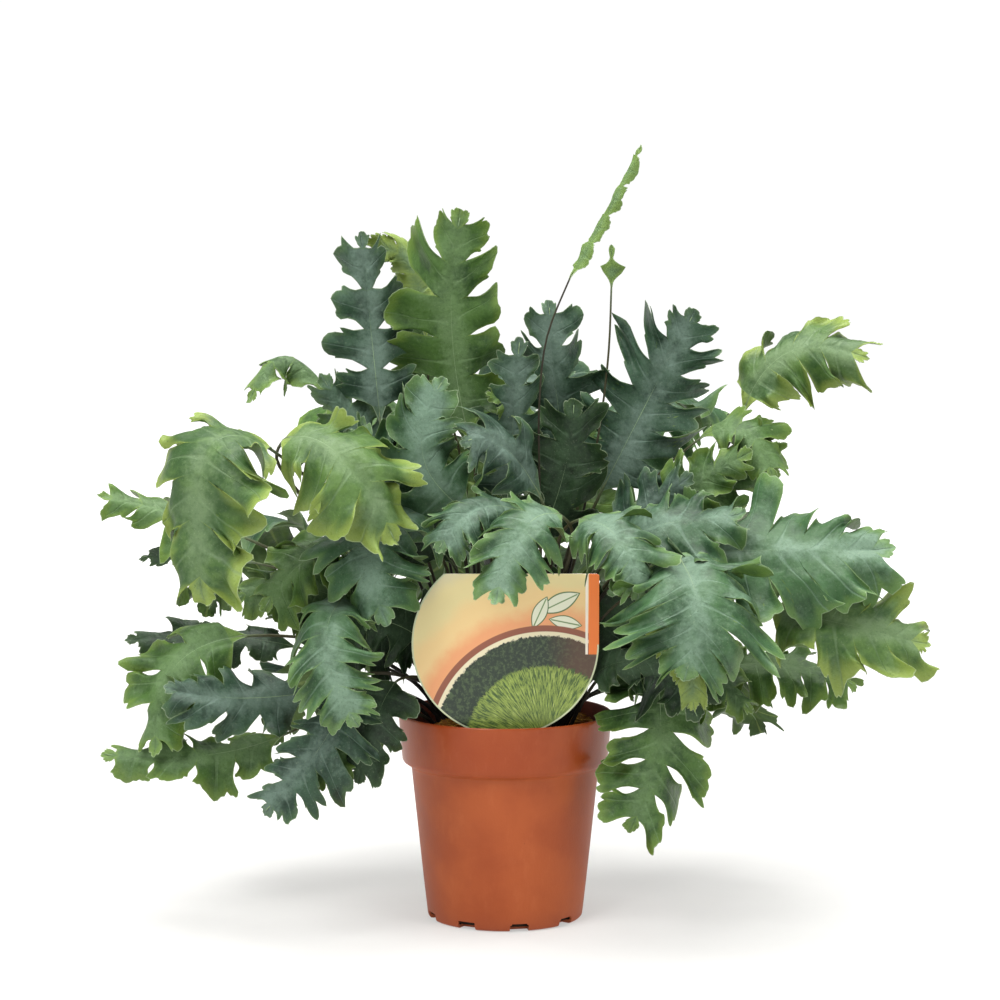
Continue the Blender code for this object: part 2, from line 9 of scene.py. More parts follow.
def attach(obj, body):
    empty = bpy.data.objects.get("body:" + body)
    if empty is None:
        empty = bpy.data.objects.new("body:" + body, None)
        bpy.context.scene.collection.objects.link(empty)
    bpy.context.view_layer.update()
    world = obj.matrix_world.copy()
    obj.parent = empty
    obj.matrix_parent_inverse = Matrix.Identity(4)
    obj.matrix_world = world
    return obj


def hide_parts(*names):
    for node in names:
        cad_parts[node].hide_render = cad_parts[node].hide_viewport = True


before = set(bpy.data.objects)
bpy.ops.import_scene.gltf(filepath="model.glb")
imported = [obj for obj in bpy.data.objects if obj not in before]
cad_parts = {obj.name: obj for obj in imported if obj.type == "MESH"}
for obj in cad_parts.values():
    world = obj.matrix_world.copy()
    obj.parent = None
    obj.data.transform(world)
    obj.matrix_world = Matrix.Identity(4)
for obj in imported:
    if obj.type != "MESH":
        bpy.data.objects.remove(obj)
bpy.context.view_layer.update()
mm = 0.001
print("frame loaded with", len(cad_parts), "nodes")


# shader building: sockets that can be added, multiplied and so on

class Wire:
    def __init__(self, finish, socket):
        self.finish = finish
        self.socket = socket

    def __add__(self, other):
        return self.finish.maths("ADD", self, other)

    def __radd__(self, other):
        return self.finish.maths("ADD", other, self)

    def __sub__(self, other):
        return self.finish.maths("SUBTRACT", self, other)

    def __rsub__(self, other):
        return self.finish.maths("SUBTRACT", other, self)

    def __mul__(self, other):
        return self.finish.maths("MULTIPLY", self, other)

    def __rmul__(self, other):
        return self.finish.maths("MULTIPLY", other, self)

    def __truediv__(self, other):
        return self.finish.maths("DIVIDE", self, other)

    def __pow__(self, other):
        return self.finish.maths("POWER", self, other)


class Finish:
    def __init__(self, name, roughness=0.5, specular=0.5):
        self.material = bpy.data.materials.new(name)
        self.material.use_nodes = True
        self.tree = self.material.node_tree
        self.shader = self.tree.nodes["Principled BSDF"]
        self.shader.inputs["Roughness"].default_value = roughness
        self.shader.inputs["Specular IOR Level"].default_value = specular

    def node(self, kind, settings, sockets, out=0):
        made = self.tree.nodes.new(kind)
        for key, value in settings.items():
            setattr(made, key, value)
        for key, value in sockets.items():
            if isinstance(value, Wire):
                self.tree.links.new(value.socket, made.inputs[key])
            else:
                made.inputs[key].default_value = value
        return Wire(self, made.outputs[out])

    def maths(self, operation, a, b=0.0):
        return self.node("ShaderNodeMath", {"operation": operation}, {0: a, 1: b})

    def size(self, value):  # a number without its sign
        return self.maths("ABSOLUTE", value)

    def step(self, value, low, high):  # 0 below low, 1 above high, smooth between
        sockets = {"Value": value, "From Min": low, "From Max": high}
        return self.node("ShaderNodeMapRange", {"interpolation_type": "SMOOTHSTEP"}, sockets)

    def blend(self, a, b, amount):  # colour a where amount is 0, b where it is 1
        return self.node("ShaderNodeMix", {"data_type": "RGBA"}, {0: amount, 6: a, 7: b}, out=2)

    def noise(self, coords, scale, detail=3.0, roughness=0.55):
        sockets = {"Vector": coords, "Scale": scale, "Detail": detail, "Roughness": roughness}
        return self.node("ShaderNodeTexNoise", {}, sockets)

    def place(self):  # where a point is on the object at rest, in metres
        return self.node("ShaderNodeTexCoord", {}, {}, out=3)

    def scaled(self, coords, factors):
        return self.node("ShaderNodeVectorMath", {"operation": "MULTIPLY"}, {0: coords, 1: factors})

    def join(self, x, y, z):
        return self.node("ShaderNodeCombineXYZ", {}, {0: x, 1: y, 2: z})

    def split(self, vector):
        outputs = self.node("ShaderNodeSeparateXYZ", {}, {0: vector}).socket.node.outputs
        return [Wire(self, outputs[k]) for k in range(3)]

    def stored(self, name):  # three numbers kept with the points of the mesh
        settings = {"attribute_name": name, "attribute_type": "GEOMETRY"}
        return self.split(self.node("ShaderNodeAttribute", settings, {}, out=1))

    def colour(self, value):
        self.tree.links.new(value.socket, self.shader.inputs["Base Color"])

    def roughness(self, value):
        self.tree.links.new(value.socket, self.shader.inputs["Roughness"])

    def bump(self, height, distance):
        made = self.node("ShaderNodeBump", {}, {"Height": height, "Strength": 1.0, "Distance": distance})
        self.tree.links.new(made.socket, self.shader.inputs["Normal"])


def paint(red, green, blue):  # a screen colour from 0 to 255, as a linear one
    linear = []
    for part in (red, green, blue):
        part = part / 255
        linear.append(part / 12.92 if part < 0.04045 else ((part + 0.055) / 1.055) ** 2.4)
    return (*linear, 1.0)


# pieces from arrays of points in millimetres

def addPiece(name, points, faces, finishes, replaces=(), insides=None):
    mesh = bpy.data.meshes.new(name)
    mesh.from_pydata((np.asarray(points, float) * mm).tolist(), [], faces)
    for finish in finishes:
        mesh.materials.append(finish.material)
    if insides is not None:
        mesh.polygons.foreach_set("material_index", insides)
    mesh.shade_smooth()
    piece = bpy.data.objects.new(name, mesh)
    bpy.context.scene.collection.objects.link(piece)
    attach(piece, "root")
    if replaces:
        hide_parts(*replaces)
    return piece


def store(mesh, name, values):
    attribute = mesh.attributes.new(name, "FLOAT_VECTOR", "POINT")
    attribute.data.foreach_set("vector", np.asarray(values, np.float32).ravel())


def unit(vectors):
    length = np.linalg.norm(vectors, axis=-1, keepdims=True)
    return vectors / np.maximum(length, 1e-9)


def seedOf(name):
    return sum((k + 1) * ord(letter) for k, letter in enumerate(name))


class Heap:  # closed bodies gathered into one mesh
    def __init__(self):
        self.points = []
        self.faces = []
        self.maps = []
        self.count = 0

    def add(self, points, faces, values=(0.0, 0.0, 0.0)):
        self.points.append(np.asarray(points, float))
        self.maps.append(np.broadcast_to(values, (len(points), 3)))
        self.faces += [tuple(k + self.count for k in face) for face in faces]
        self.count += len(points)

    def piece(self, name, finishes, slot, replaces=()):
        made = addPiece(name, np.concatenate(self.points), self.faces, finishes, replaces)
        store(made.data, "bodyMap", np.concatenate(self.maps))
        return made


def tubeBody(path, radii, sides, up=(0.0, 0.0, 1.0)):  # a closed tube along a path
    path = np.asarray(path, float)
    ahead = unit(np.gradient(path, axis=0))
    across = unit(np.cross(ahead, np.broadcast_to(up, ahead.shape)))
    lift = np.cross(across, ahead)
    turn = np.linspace(0, 2 * math.pi, sides, endpoint=False)[None, :, None]
    ring = across[:, None] * np.cos(turn) + lift[:, None] * np.sin(turn)
    points = (path[:, None] + ring * np.asarray(radii, float)[:, None, None]).reshape(-1, 3)
    points = np.concatenate([points, path[:1], path[-1:]])
    rows = len(path)
    faces = []
    for row in range(rows - 1):
        for k in range(sides):
            here, after = row * sides + k, row * sides + (k + 1) % sides
            faces.append((here, here + sides, after + sides, after))
    first, last = rows * sides, rows * sides + 1
    for k in range(sides):
        after = (k + 1) % sides
        faces.append((k, after, first))
        faces.append(((rows - 1) * sides + after, (rows - 1) * sides + k, last))
    return points, faces


def smoothAt(values, places):  # Catmull-Rom through the rows of values, at fractional row numbers
    values = np.asarray(values, float)
    last = len(values) - 1
    places = np.asarray(places, float)
    row = np.clip(np.floor(places).astype(int), 0, last - 1)
    t = (places - row)[:, None]
    here, after = values[row], values[row + 1]
    before = np.where(row[:, None] > 0, values[np.maximum(row - 1, 0)], 2 * here - after)
    beyond = np.where(row[:, None] < last - 1, values[np.minimum(row + 2, last)], 2 * after - here)
    pull = -before + 3 * here - 3 * after + beyond
    bend = 2 * before - 5 * here + 4 * after - beyond
    return 0.5 * (2 * here + (after - before) * t + bend * t * t + pull * t * t * t)


def readRings(node, pick):  # the rings of a stem's solid, from the point that pick chooses onward
    points = np.array([vertex.co for vertex in node.data.vertices]) / mm
    points, index = np.unique(np.round(points, 2), axis=0, return_inverse=True)
    index = index.reshape(-1)
    links = [set() for _ in points]
    for edge in node.data.edges:
        a, b = int(index[edge.vertices[0]]), int(index[edge.vertices[1]])
        if a != b:
            links[a].add(b)
            links[b].add(a)
    layer = [pick(points)]
    seen = set(layer)
    rings = []
    while layer:
        rings.append(points[sorted(layer)])
        beyond = []
        for here in layer:
            for there in sorted(links[here] - seen):
                seen.add(there)
                beyond.append(there)
        layer = beyond
    return rings


# the grower's pot

potShape = {
    "sides": 216,
    # radius and height up the outside and over the rim
    "outside": (
        (0.0, 0.0), (36.0, 0.0), (42.0, 0.0), (43.2, 0.35), (43.9, 1.1), (44.15, 2.2), (46.4, 22.0), (48.65, 43.0),
        (50.9, 64.0), (53.0, 84.2), (53.3, 86.2), (53.8, 87.2), (55.0, 88.0), (56.6, 88.7), (57.7, 89.5),
        (58.3, 90.6), (58.5, 92.0), (59.2, 100.5), (59.9, 109.0), (60.3, 114.2), (60.5, 115.9), (60.35, 116.6),
        (59.9, 117.0),
    ),
    # and down the inside
    "inside": (
        (59.5, 116.95), (59.25, 116.5), (59.15, 115.6), (58.6, 109.0), (57.9, 100.5), (57.3, 93.0), (56.6, 90.6),
        (54.6, 89.4), (52.7, 88.2), (52.1, 86.0), (49.6, 64.0), (47.4, 43.0), (45.2, 22.0), (43.1, 2.6),
        (42.0, 1.9), (0.0, 1.7),
    ),
    "slots": 9,
    "slotTurn": -39.5,
    "slotSize": (11.0, 11.0, 9.0),
    "slotReach": 42.5,
}


def potFinish():
    skin = Finish("terracotta plastic", specular=0.3)
    coords = skin.place()
    x, y, z = skin.split(coords)
    cloudy = skin.noise(coords, 28.0, 4.0)
    fine = skin.noise(coords, 900.0, 2.0)
    band = skin.step(z, 0.0875, 0.0915)
    body = skin.blend(paint(147, 66, 26), paint(160, 77, 34), skin.step(cloudy, 0.35, 0.65))
    rim = skin.blend(paint(142, 59, 18), paint(152, 69, 27), skin.step(cloudy, 0.35, 0.65))
    colour = skin.blend(body, rim, band)
    foot = 1 - skin.step(z, 0.0, 0.012)
    colour = skin.blend(colour, paint(140, 66, 40), foot * 0.35)
    dusty = skin.step(skin.noise(skin.scaled(coords, (1.0, 1.0, 0.35)), 120.0, 5.0, 0.7), 0.52, 0.75)
    colour = skin.blend(colour, paint(190, 112, 74), dusty * 0.15)
    dots = skin.node("ShaderNodeTexVoronoi", {}, {"Vector": coords, "Scale": 75.0})
    speck = (1 - skin.step(dots, 0.035, 0.06)) * skin.step(skin.noise(coords, 60.0, 1.0), 0.56, 0.62)
    skin.colour(skin.blend(colour, paint(70, 30, 18), speck * 0.75))
    skin.roughness(0.50 - band * 0.15 + (cloudy - 0.5) * 0.16 + dusty * 0.12)
    scratch = skin.noise(skin.scaled(coords, (1.0, 1.0, 0.12)), 500.0, 3.0)
    skin.bump(fine * 0.6 + scratch * 0.4 + cloudy * 1.4, 0.00012)
    # painted shade: the inside wall is a darker copy of the pot's plastic
    inner = Finish("dark pot wall", specular=0.35)
    coords = inner.place()
    x, y, z = inner.split(coords)
    cloudy = inner.noise(coords, 60.0, 5.0, 0.65)
    # darker and rougher towards the soil
    towardSoil = 1 - inner.step(z + cloudy * 0.008, 0.104, 0.1165)
    colour = inner.blend(paint(120, 52, 28), paint(92, 38, 22), cloudy)
    inner.colour(inner.blend(colour, paint(34, 22, 16), towardSoil * 0.85))
    inner.roughness(0.5 + towardSoil * 0.35)
    inner.bump(inner.noise(coords, 700.0, 3.0) + cloudy, 0.0002)
    return [skin, inner]


def slotCutter():
    cutter = bpy.data.meshes.new("slots")
    body = bmesh.new()
    for k in range(potShape["slots"]):
        angle = math.radians(potShape["slotTurn"] + 360 / potShape["slots"] * k)
        outward = Vector((math.cos(angle), math.sin(angle), 0))
        sideways = Vector((-math.sin(angle), math.cos(angle), 0))
        cube = bmesh.ops.create_cube(body, size=1.0)["verts"]
        for vertex in cube:
            deep, wide, high = (vertex.co[m] * potShape["slotSize"][m] for m in range(3))
            wide *= 1.05 if high < 0 else 0.95
            vertex.co = (outward * (potShape["slotReach"] + deep) + sideways * wide + Vector((0, 0, high))) * mm
        upper = []
        for edge in {edge for vertex in cube for edge in vertex.link_edges}:
            a, b = (vertex.co for vertex in edge.verts)
            if min(a.z, b.z) > 0 and abs((a - b).normalized().dot(outward)) > 0.9:
                upper.append(edge)
        bmesh.ops.bevel(body, geom=upper, offset=0.9 * mm, segments=3, affect="EDGES")
    body.to_mesh(cutter)
    body.free()
    tool = bpy.data.objects.new("slots", cutter)
    bpy.context.scene.collection.objects.link(tool)
    return tool


def makePot():
    sides = potShape["sides"]
    profile = list(potShape["outside"]) + list(potShape["inside"])
    outer = len(potShape["outside"])
    turn = np.linspace(0, 2 * math.pi, sides, endpoint=False)
    ring = np.stack([np.cos(turn), np.sin(turn), np.zeros(sides)], axis=1)
    points = [(0.0, 0.0, profile[0][1]), (0.0, 0.0, profile[-1][1])]
    for radius, height in profile[1:-1]:
        points += list(ring * radius + (0, 0, height))
    faces, insides = [], []
    rows = len(profile) - 2
    for k in range(sides):
        after = (k + 1) % sides
        faces.append((0, 2 + after, 2 + k))
        faces.append((1, 2 + (rows - 1) * sides + k, 2 + (rows - 1) * sides + after))
        insides += [0, 1]
        for row in range(rows - 1):
            here = 2 + row * sides
            faces.append((here + k, here + after, here + sides + after, here + sides + k))
            insides.append(1 if row >= outer - 1 else 0)
    pot = addPiece("pot", points, faces, potFinish(), ("grower_pot",), insides)
    tool = slotCutter()
    cut = pot.modifiers.new("slots", "BOOLEAN")
    cut.operation = "DIFFERENCE"
    cut.solver = "EXACT"
    cut.object = tool
    shaped = bpy.data.meshes.new_from_object(pot.evaluated_get(bpy.context.evaluated_depsgraph_get()))
    pot.modifiers.clear()
    pot.data = shaped
    bpy.data.objects.remove(tool)
    shaped.set_sharp_from_angle(angle=math.radians(38))


makePot()
print("pot done")


# soil: a lumpy top on a plain root ball, with crumbs and fibres

soilShape = {
    "edge": 57.2,
    "level": 103.6,
    "crown": 3.0,
    # radius and height of the hidden sides, from the foot up
    "wall": ((41.6, 2.4), (42.9, 12.0), (51.4, 84.0), (52.0, 87.0), (56.2, 92.0)),
    "rings": 44,
    "sides": 132,
    "crumbs": 420,
    "fibres": 210,
}


def soilTop(x, y):
    share = min(1.0, math.hypot(x, y) / soilShape["edge"])
    place = Vector((x, y, 0.0))
    lumps = noise.noise(place * 0.09) * 1.6 + noise.noise(place * 0.27) + noise.noise(place * 0.8) * 0.55
    return soilShape["level"] + soilShape["crown"] * (1 - share * share) + lumps


def soilFinish():
    earth = Finish("dark fibrous soil", roughness=0.95, specular=0.2)
    coords = earth.place()
    light, kind, spare = earth.stored("bodyMap")
    coarse = earth.noise(coords, 260.0, 5.0, 0.7)
    strands = earth.noise(earth.scaled(coords, (1.0, 3.0, 1.0)), 420.0, 4.0, 0.75)
    dark = earth.blend(paint(24, 17, 13), paint(58, 40, 28), earth.step(coarse, 0.38, 0.66))
    dark = earth.blend(dark, paint(104, 74, 48), earth.step(strands, 0.6, 0.74) * 0.55)
    fibre = earth.blend(paint(74, 48, 28), paint(136, 98, 60), coarse)
    colour = earth.blend(dark, fibre, kind)
    earth.colour(earth.blend(colour, paint(120, 88, 60), light * 0.35))
    earth.bump(coarse * 1.5 + strands, 0.0011)
    return earth


def makeRootBall(finish):
    sides, rings = soilShape["sides"], soilShape["rings"]
    points = [(0.0, 0.0, 2.0)]
    rows = list(soilShape["wall"]) + [(soilShape["edge"] * (1 - k / rings), None) for k in range(rings)]
    for radius, height in rows:
        for k in range(sides):
            turn = 2 * math.pi * k / sides
            x, y = radius * math.cos(turn), radius * math.sin(turn)
            points.append((x, y, soilTop(x, y) if height is None else height))
    points.append((0.0, 0.0, soilTop(0.0, 0.0)))
    faces = []
    for k in range(sides):
        after = (k + 1) % sides
        faces.append((0, 1 + after, 1 + k))
        faces.append((1 + (len(rows) - 1) * sides + k, 1 + (len(rows) - 1) * sides + after, len(points) - 1))
        for row in range(len(rows) - 1):
            here = 1 + row * sides
            faces.append((here + k, here + after, here + sides + after, here + sides + k))
    ball = addPiece("root_ball", points, faces, [finish], ("potting_soil",))
    store(ball.data, "bodyMap", np.zeros((len(points), 3)))


def makeLitter(finish):
    rng = np.random.default_rng(41)
    lump = bmesh.new()
    bmesh.ops.create_icosphere(lump, subdivisions=2, radius=1.0)
    grain = np.array([vertex.co for vertex in lump.verts])
    grainFaces = [tuple(vertex.index for vertex in face.verts) for face in lump.faces]
    lump.free()
    litter = Heap()
    for _ in range(soilShape["crumbs"]):
        far = soilShape["edge"] * math.sqrt(rng.uniform(0.02, 0.92))
        turn = rng.uniform(0, 2 * math.pi)
        x, y = far * math.cos(turn), far * math.sin(turn)
        size = rng.uniform(0.6, 1.0) * rng.choice([1.0, 1.5, 2.3], p=[0.5, 0.35, 0.15])
        stretch = rng.uniform(0.55, 1.3, 3)
        wobble = 1 + 0.15 * np.sin(grain @ rng.normal(size=(3, 3)) * 2.6).sum(axis=1, keepdims=True)
        spin = np.linalg.qr(rng.normal(size=(3, 3)))[0]
        spin = spin * np.sign(np.linalg.det(spin))
        body = (grain * wobble * stretch * size) @ spin + (x, y, soilTop(x, y) + size * 0.35)
        litter.add(body, grainFaces, (rng.uniform(0, 1) ** 2, float(rng.uniform() < 0.25), 0.0))
    for _ in range(soilShape["fibres"]):
        far = soilShape["edge"] * math.sqrt(rng.uniform(0.02, 0.9))
        turn, heading = rng.uniform(0, 2 * math.pi, 2)
        x, y = far * math.cos(turn), far * math.sin(turn)
        length, bow, arch = rng.uniform(5, 15), rng.uniform(-2.5, 2.5), rng.uniform(0.0, 1.8)
        path = []
        for k in range(8):
            t = k / 7
            ahead = (t - 0.5) * length
            aside = bow * math.sin(math.pi * t) + 0.5 * math.sin(7 * t + far)
            px = x + ahead * math.cos(heading) - aside * math.sin(heading)
            py = y + ahead * math.sin(heading) + aside * math.cos(heading)
            shrink = min(1.0, (soilShape["edge"] - 1.0) / max(1.0, math.hypot(px, py)))
            px, py = px * shrink, py * shrink
            path.append((px, py, soilTop(px, py) + 0.15 + arch * math.sin(math.pi * t)))
        thick = rng.uniform(0.16, 0.34)
        body, faces = tubeBody(path, [thick * (1 - 0.5 * abs(2 * k / 7 - 1)) for k in range(8)], 5)
        litter.add(body, faces, (rng.uniform(0, 1), 1.0, 0.0))
    litter.piece("soil_litter", [finish], "soil")


earth = soilFinish()
makeRootBall(earth)
makeLitter(earth)
print("soil done")


# creeping rhizomes under a coat of golden scales

rhizomeShape = {
    "sides": 20,
    "rows": 64,
    "scales": 620,
}


def rhizomeFinish():
    fur = Finish("golden rhizome scales", roughness=0.72, specular=0.3)
    coords = fur.place()
    along, tip, tone = fur.stored("bodyMap")
    streak = fur.noise(coords, 900.0, 4.0, 0.7)
    gold = fur.blend(paint(150, 96, 34), paint(222, 172, 62), fur.step(tone * 0.7 + tip * 0.5, 0.1, 0.9))
    gold = fur.blend(gold, paint(240, 205, 96), fur.step(streak, 0.55, 0.75) * 0.6)
    old = fur.blend(paint(82, 50, 26), paint(140, 92, 44), streak)
    fur.colour(fur.blend(gold, old, fur.step(along + tone * 0.2, 0.35, 1.1)))
    fur.bump(streak, 0.0003)
    return fur


def makeRhizome(name, finish):
    rings = readRings(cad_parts[name], lambda points: int(np.argmax(np.hypot(points[:, 0], points[:, 1]))))
    centres = np.array([ring.mean(axis=0) for ring in rings])
    widths = np.array([np.linalg.norm(ring - ring.mean(axis=0), axis=1).mean() for ring in rings])
    widths[0], widths[-1] = widths[1] * 0.45, widths[-2] * 0.45
    rng = np.random.default_rng(seedOf(name))
    places = np.linspace(0, len(rings) - 1, rhizomeShape["rows"])
    path = smoothAt(centres, places)
    radii = smoothAt(widths[:, None], places)[:, 0] * (0.93 + 0.055 * np.sin(places * 2.1 + 1.0))
    body, faces = tubeBody(path, radii, rhizomeShape["sides"])
    heap = Heap()
    heap.add(body, faces, (0.3, 0.0, 0.2))
    heading = unit(np.gradient(path, axis=0))
    for _ in range(rhizomeShape["scales"]):
        row = int(rng.integers(0, len(path) - 1) * rng.uniform(0.5, 1.0))
        turn = rng.uniform(0, 2 * math.pi)
        along = heading[row]
        across = unit(np.cross(along, (0, 0, 1)))
        out = across * math.cos(turn) + np.cross(across, along) * math.sin(turn)
        around = np.cross(out, along)
        root = path[row] + out * radii[row] * 0.93
        nearTip = max(0.0, 1 - row / 12)
        length, wide = rng.uniform(2.2, 4.4), rng.uniform(0.35, 0.7)
        flare, stray = rng.uniform(0.25, 0.65), rng.uniform(-0.35, 0.35)
        if root[2] < path[row][2] - 0.8 * radii[row]:
            continue
        grows = unit(-along * (0.9 - 0.2 * nearTip) + out * flare + around * stray)
        side = unit(np.cross(grows, out))
        thick = np.cross(grows, side)
        points = []
        for t, w in ((0.0, 0.7), (0.35, 1.0), (0.75, 0.55)):
            middle = root + grows * length * t + out * (0.35 * math.sin(math.pi * t) - 0.5 * t * t)
            for a, b in ((-1, 0), (0, -0.28), (1, 0), (0, 0.28)):
                points.append(middle + side * a * wide * w + thick * b * wide * w)
        points.append(root + grows * length - out * 0.5)
        faces = [(3, 2, 1, 0)]
        for k in range(4):
            after = (k + 1) % 4
            faces += [(k, after, 4 + after, 4 + k), (4 + k, 4 + after, 8 + after, 8 + k), (8 + k, 8 + after, 12)]
        heap.add(points, faces, (row / len(path), nearTip, rng.uniform(0, 1)))
    heap.piece("scaly_" + name, [finish], "rhizome", (name,))


golden = rhizomeFinish()
for name in sorted(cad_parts):
    if name.startswith("rhizome"):
        makeRhizome(name, golden)
print("rhizomes done")


# plant label: a thin printed card with a spike

labelShape = {
    "radius": 51.5,
    "bottom": 110.5,
    "top": 201.0,
    "cornerRound": 1.6,
    "spikeWidth": 14.0,
    "spikeLength": 36.0,
    "thickness": 0.8,
    "bevel": 0.14,
    "y": -46.0,
    "lean": 1.5,
    "archAcross": 2.2,  # centre of the print's arches, in centimetres
    "archBelow": 5.6,
    # almond leaves of the print: centre across and up in centimetres, turn, size
    "almonds": ((3.0, 2.3, 0.45, 1.25), (1.9, 1.75, 1.15, 1.0), (3.3, 1.2, -0.2, 0.95)),
}


def printFinish():
    card = Finish("printed plastic card", specular=0.45)
    coords = card.place()
    x, y, z = card.split(coords)
    x = x * 100.0  # centimetres across from the middle
    h = z * 100.0 - 16.2  # and up from it
    grain = card.noise(coords, 700.0, 3.0, 0.6)
    wash = card.noise(coords, 55.0, 4.0, 0.6)
    # plain arches of colour, one inside the other, round a point below the card's right side
    arch = ((x - labelShape["archAcross"]) ** 2.0 + (h + labelShape["archBelow"]) ** 2.0) ** 0.5
    soft = arch + (wash - 0.5) * 1.3
    colour = card.blend(paint(228, 158, 108), paint(232, 200, 140), card.step(soft, 6.9, 8.0))
    colour = card.blend(colour, paint(224, 208, 150), card.step(soft, 8.3, 9.3))
    colour = card.blend(colour, paint(206, 200, 164), card.step(soft, 9.9, 11.0) * 0.8)
    for across, up, turn, size in labelShape["almonds"]:
        u = (x - across) * math.cos(turn) + (h - up) * math.sin(turn)
        v = (h - up) * math.cos(turn) - (x - across) * math.sin(turn)
        far = card.size(v) / size + (u / size) ** 2.0 * 0.42
        colour = card.blend(colour, paint(80, 112, 64), 1 - card.step(far, 0.40, 0.42))
        colour = card.blend(colour, paint(222, 224, 200), 1 - card.step(far, 0.34, 0.36))
        line = (1 - card.step(card.size(v), 0.02, 0.05)) * (1 - card.step(far, 0.30, 0.33))
        colour = card.blend(colour, paint(110, 140, 84), line)
    colour = card.blend(colour, paint(140, 82, 60), 1 - card.step(arch, 6.62, 6.66))
    colour = card.blend(colour, paint(224, 214, 180), 1 - card.step(arch, 6.28, 6.32))
    # dark arch, dabbed with a dry brush
    dabs = card.noise(coords, 420.0, 4.0, 0.7)
    deep = card.blend(paint(34, 48, 36), paint(66, 84, 54), card.step(dabs, 0.46, 0.62))
    deep = card.blend(deep, paint(96, 66, 50), card.step(x + wash, 2.6, 4.6) * 0.7)
    colour = card.blend(colour, deep, 1 - card.step(arch + (dabs - 0.5) * 0.5, 6.02, 6.10))
    # inmost field: fine lime strokes that spread from the same point
    fan = card.maths("ARCTAN2", x - labelShape["archAcross"], h + labelShape["archBelow"])
    strokes = card.noise(card.join(fan * 26.0, arch * 0.9, 0.0), 1.6, 4.0, 0.7)
    blades = card.blend(paint(58, 84, 40), paint(138, 158, 70), card.step(strokes, 0.40, 0.56))
    blades = card.blend(blades, paint(196, 204, 132), card.step(strokes, 0.58, 0.70) * 0.8)
    colour = card.blend(colour, blades, 1 - card.step(arch + (strokes - 0.5) * 1.1, 4.35, 4.45))
    # orange strip down the square corner, with a cream line beside it
    corner = card.step(h, -0.6, -0.55)
    colour = card.blend(colour, paint(232, 120, 44), card.step(x, 4.55, 4.6) * corner)
    line = card.step(x, 4.38, 4.42) * (1 - card.step(x, 4.52, 4.56))
    colour = card.blend(colour, paint(240, 230, 214), line * corner)
    far = (x ** 2.0 + h ** 2.0) ** 0.5
    rim = card.step(far, 5.04, 5.07) * (1 - card.step(x, 0.0, 0.1) * card.step(h, -0.05, 0.0))
    colour = card.blend(colour, paint(196, 204, 166), rim)
    bare = 1 - card.step(z, 0.1098, 0.1104)
    card.colour(card.blend(colour, paint(226, 224, 212), bare))
    card.roughness(0.34 + (wash - 0.5) * 0.12 + bare * 0.1)
    card.bump(grain * 0.4 + wash, 0.00008)
    return card


def backFinish():
    back = Finish("plain card back", specular=0.4)
    coords = back.place()
    x, y, z = back.split(coords)
    wash = back.noise(coords, 70.0, 4.0)
    colour = back.blend(paint(228, 226, 216), paint(238, 236, 228), wash)
    field = back.step(z, 0.128, 0.1285) * (1 - back.step(z, 0.180, 0.1805))
    field = field * (1 - back.step(back.size(x), 0.0330, 0.0335))
    lines = back.step(back.maths("SINE", z * 1500.0), 0.55, 0.75)
    back.colour(back.blend(colour, paint(120, 146, 96), field * lines))
    back.roughness(0.42 + (wash - 0.5) * 0.1)
    back.bump(back.noise(coords, 500.0, 3.0), 0.00008)
    return back


def labelOutline():
    radius, middle = labelShape["radius"], labelShape["bottom"] + labelShape["radius"]
    half = labelShape["spikeWidth"] / 2
    spikeTurn = math.asin(half / radius)
    start = -math.pi / 2 + spikeTurn
    outline = []
    for k in range(34):
        turn = start * (1 - k / 33)
        outline.append((radius * math.cos(turn), middle + radius * math.sin(turn)))
    soft = labelShape["cornerRound"]
    for k in range(7):
        turn = math.pi / 2 * k / 6
        outline.append((radius - soft + soft * math.cos(turn), labelShape["top"] - soft + soft * math.sin(turn)))
    crown = math.asin((labelShape["top"] - middle) / radius)
    for k in range(56):
        turn = math.pi - crown + (math.pi / 2 - spikeTurn + crown) * k / 55
        outline.append((radius * math.cos(turn), middle + radius * math.sin(turn)))
    foot = labelShape["bottom"] - labelShape["spikeLength"]
    outline += [(-half, labelShape["bottom"] - 4), (-half + 1.5, foot + 12), (-1.0, foot + 0.8), (0.0, foot)]
    outline += [(1.0, foot + 0.8), (half - 1.5, foot + 12), (half, labelShape["bottom"] - 4)]
    return np.array(outline)


def makeLabel():
    outline = labelOutline()
    edge = np.roll(outline, -1, axis=0) - np.roll(outline, 1, axis=0)
    inward = unit(np.stack([-edge[:, 1], edge[:, 0]], axis=1))
    half, bevel = labelShape["thickness"] / 2, labelShape["bevel"]
    lean = math.radians(labelShape["lean"])
    points = []
    for inset, depth in ((bevel, -half), (0.0, -half + bevel), (0.0, half - bevel), (bevel, half)):
        for across, height in outline + inward * inset:
            up = height - labelShape["bottom"]
            y = labelShape["y"] + depth * math.cos(lean) - up * math.sin(lean)
            points.append((across, y, labelShape["bottom"] + up * math.cos(lean) + depth * math.sin(lean)))
    count = len(outline)
    faces, insides = [tuple(range(count)), tuple(range(4 * count - 1, 3 * count - 1, -1))], [0, 1]
    for row in range(3):
        for k in range(count):
            here, after = row * count + k, row * count + (k + 1) % count
            faces.append((after, here, here + count, after + count))
            insides.append(0 if row == 0 else 1)
    sides = [printFinish(), backFinish()]
    card = addPiece("label_card", points, faces, sides, ("plant_label",), insides)
    shape = bmesh.new()
    shape.from_mesh(card.data)
    bmesh.ops.triangulate(shape, faces=[face for face in shape.faces if len(face.verts) > 4])
    shape.to_mesh(card.data)
    shape.free()
    card.data.set_sharp_from_angle(angle=math.radians(30))


makeLabel()
print("label done")


# fronds

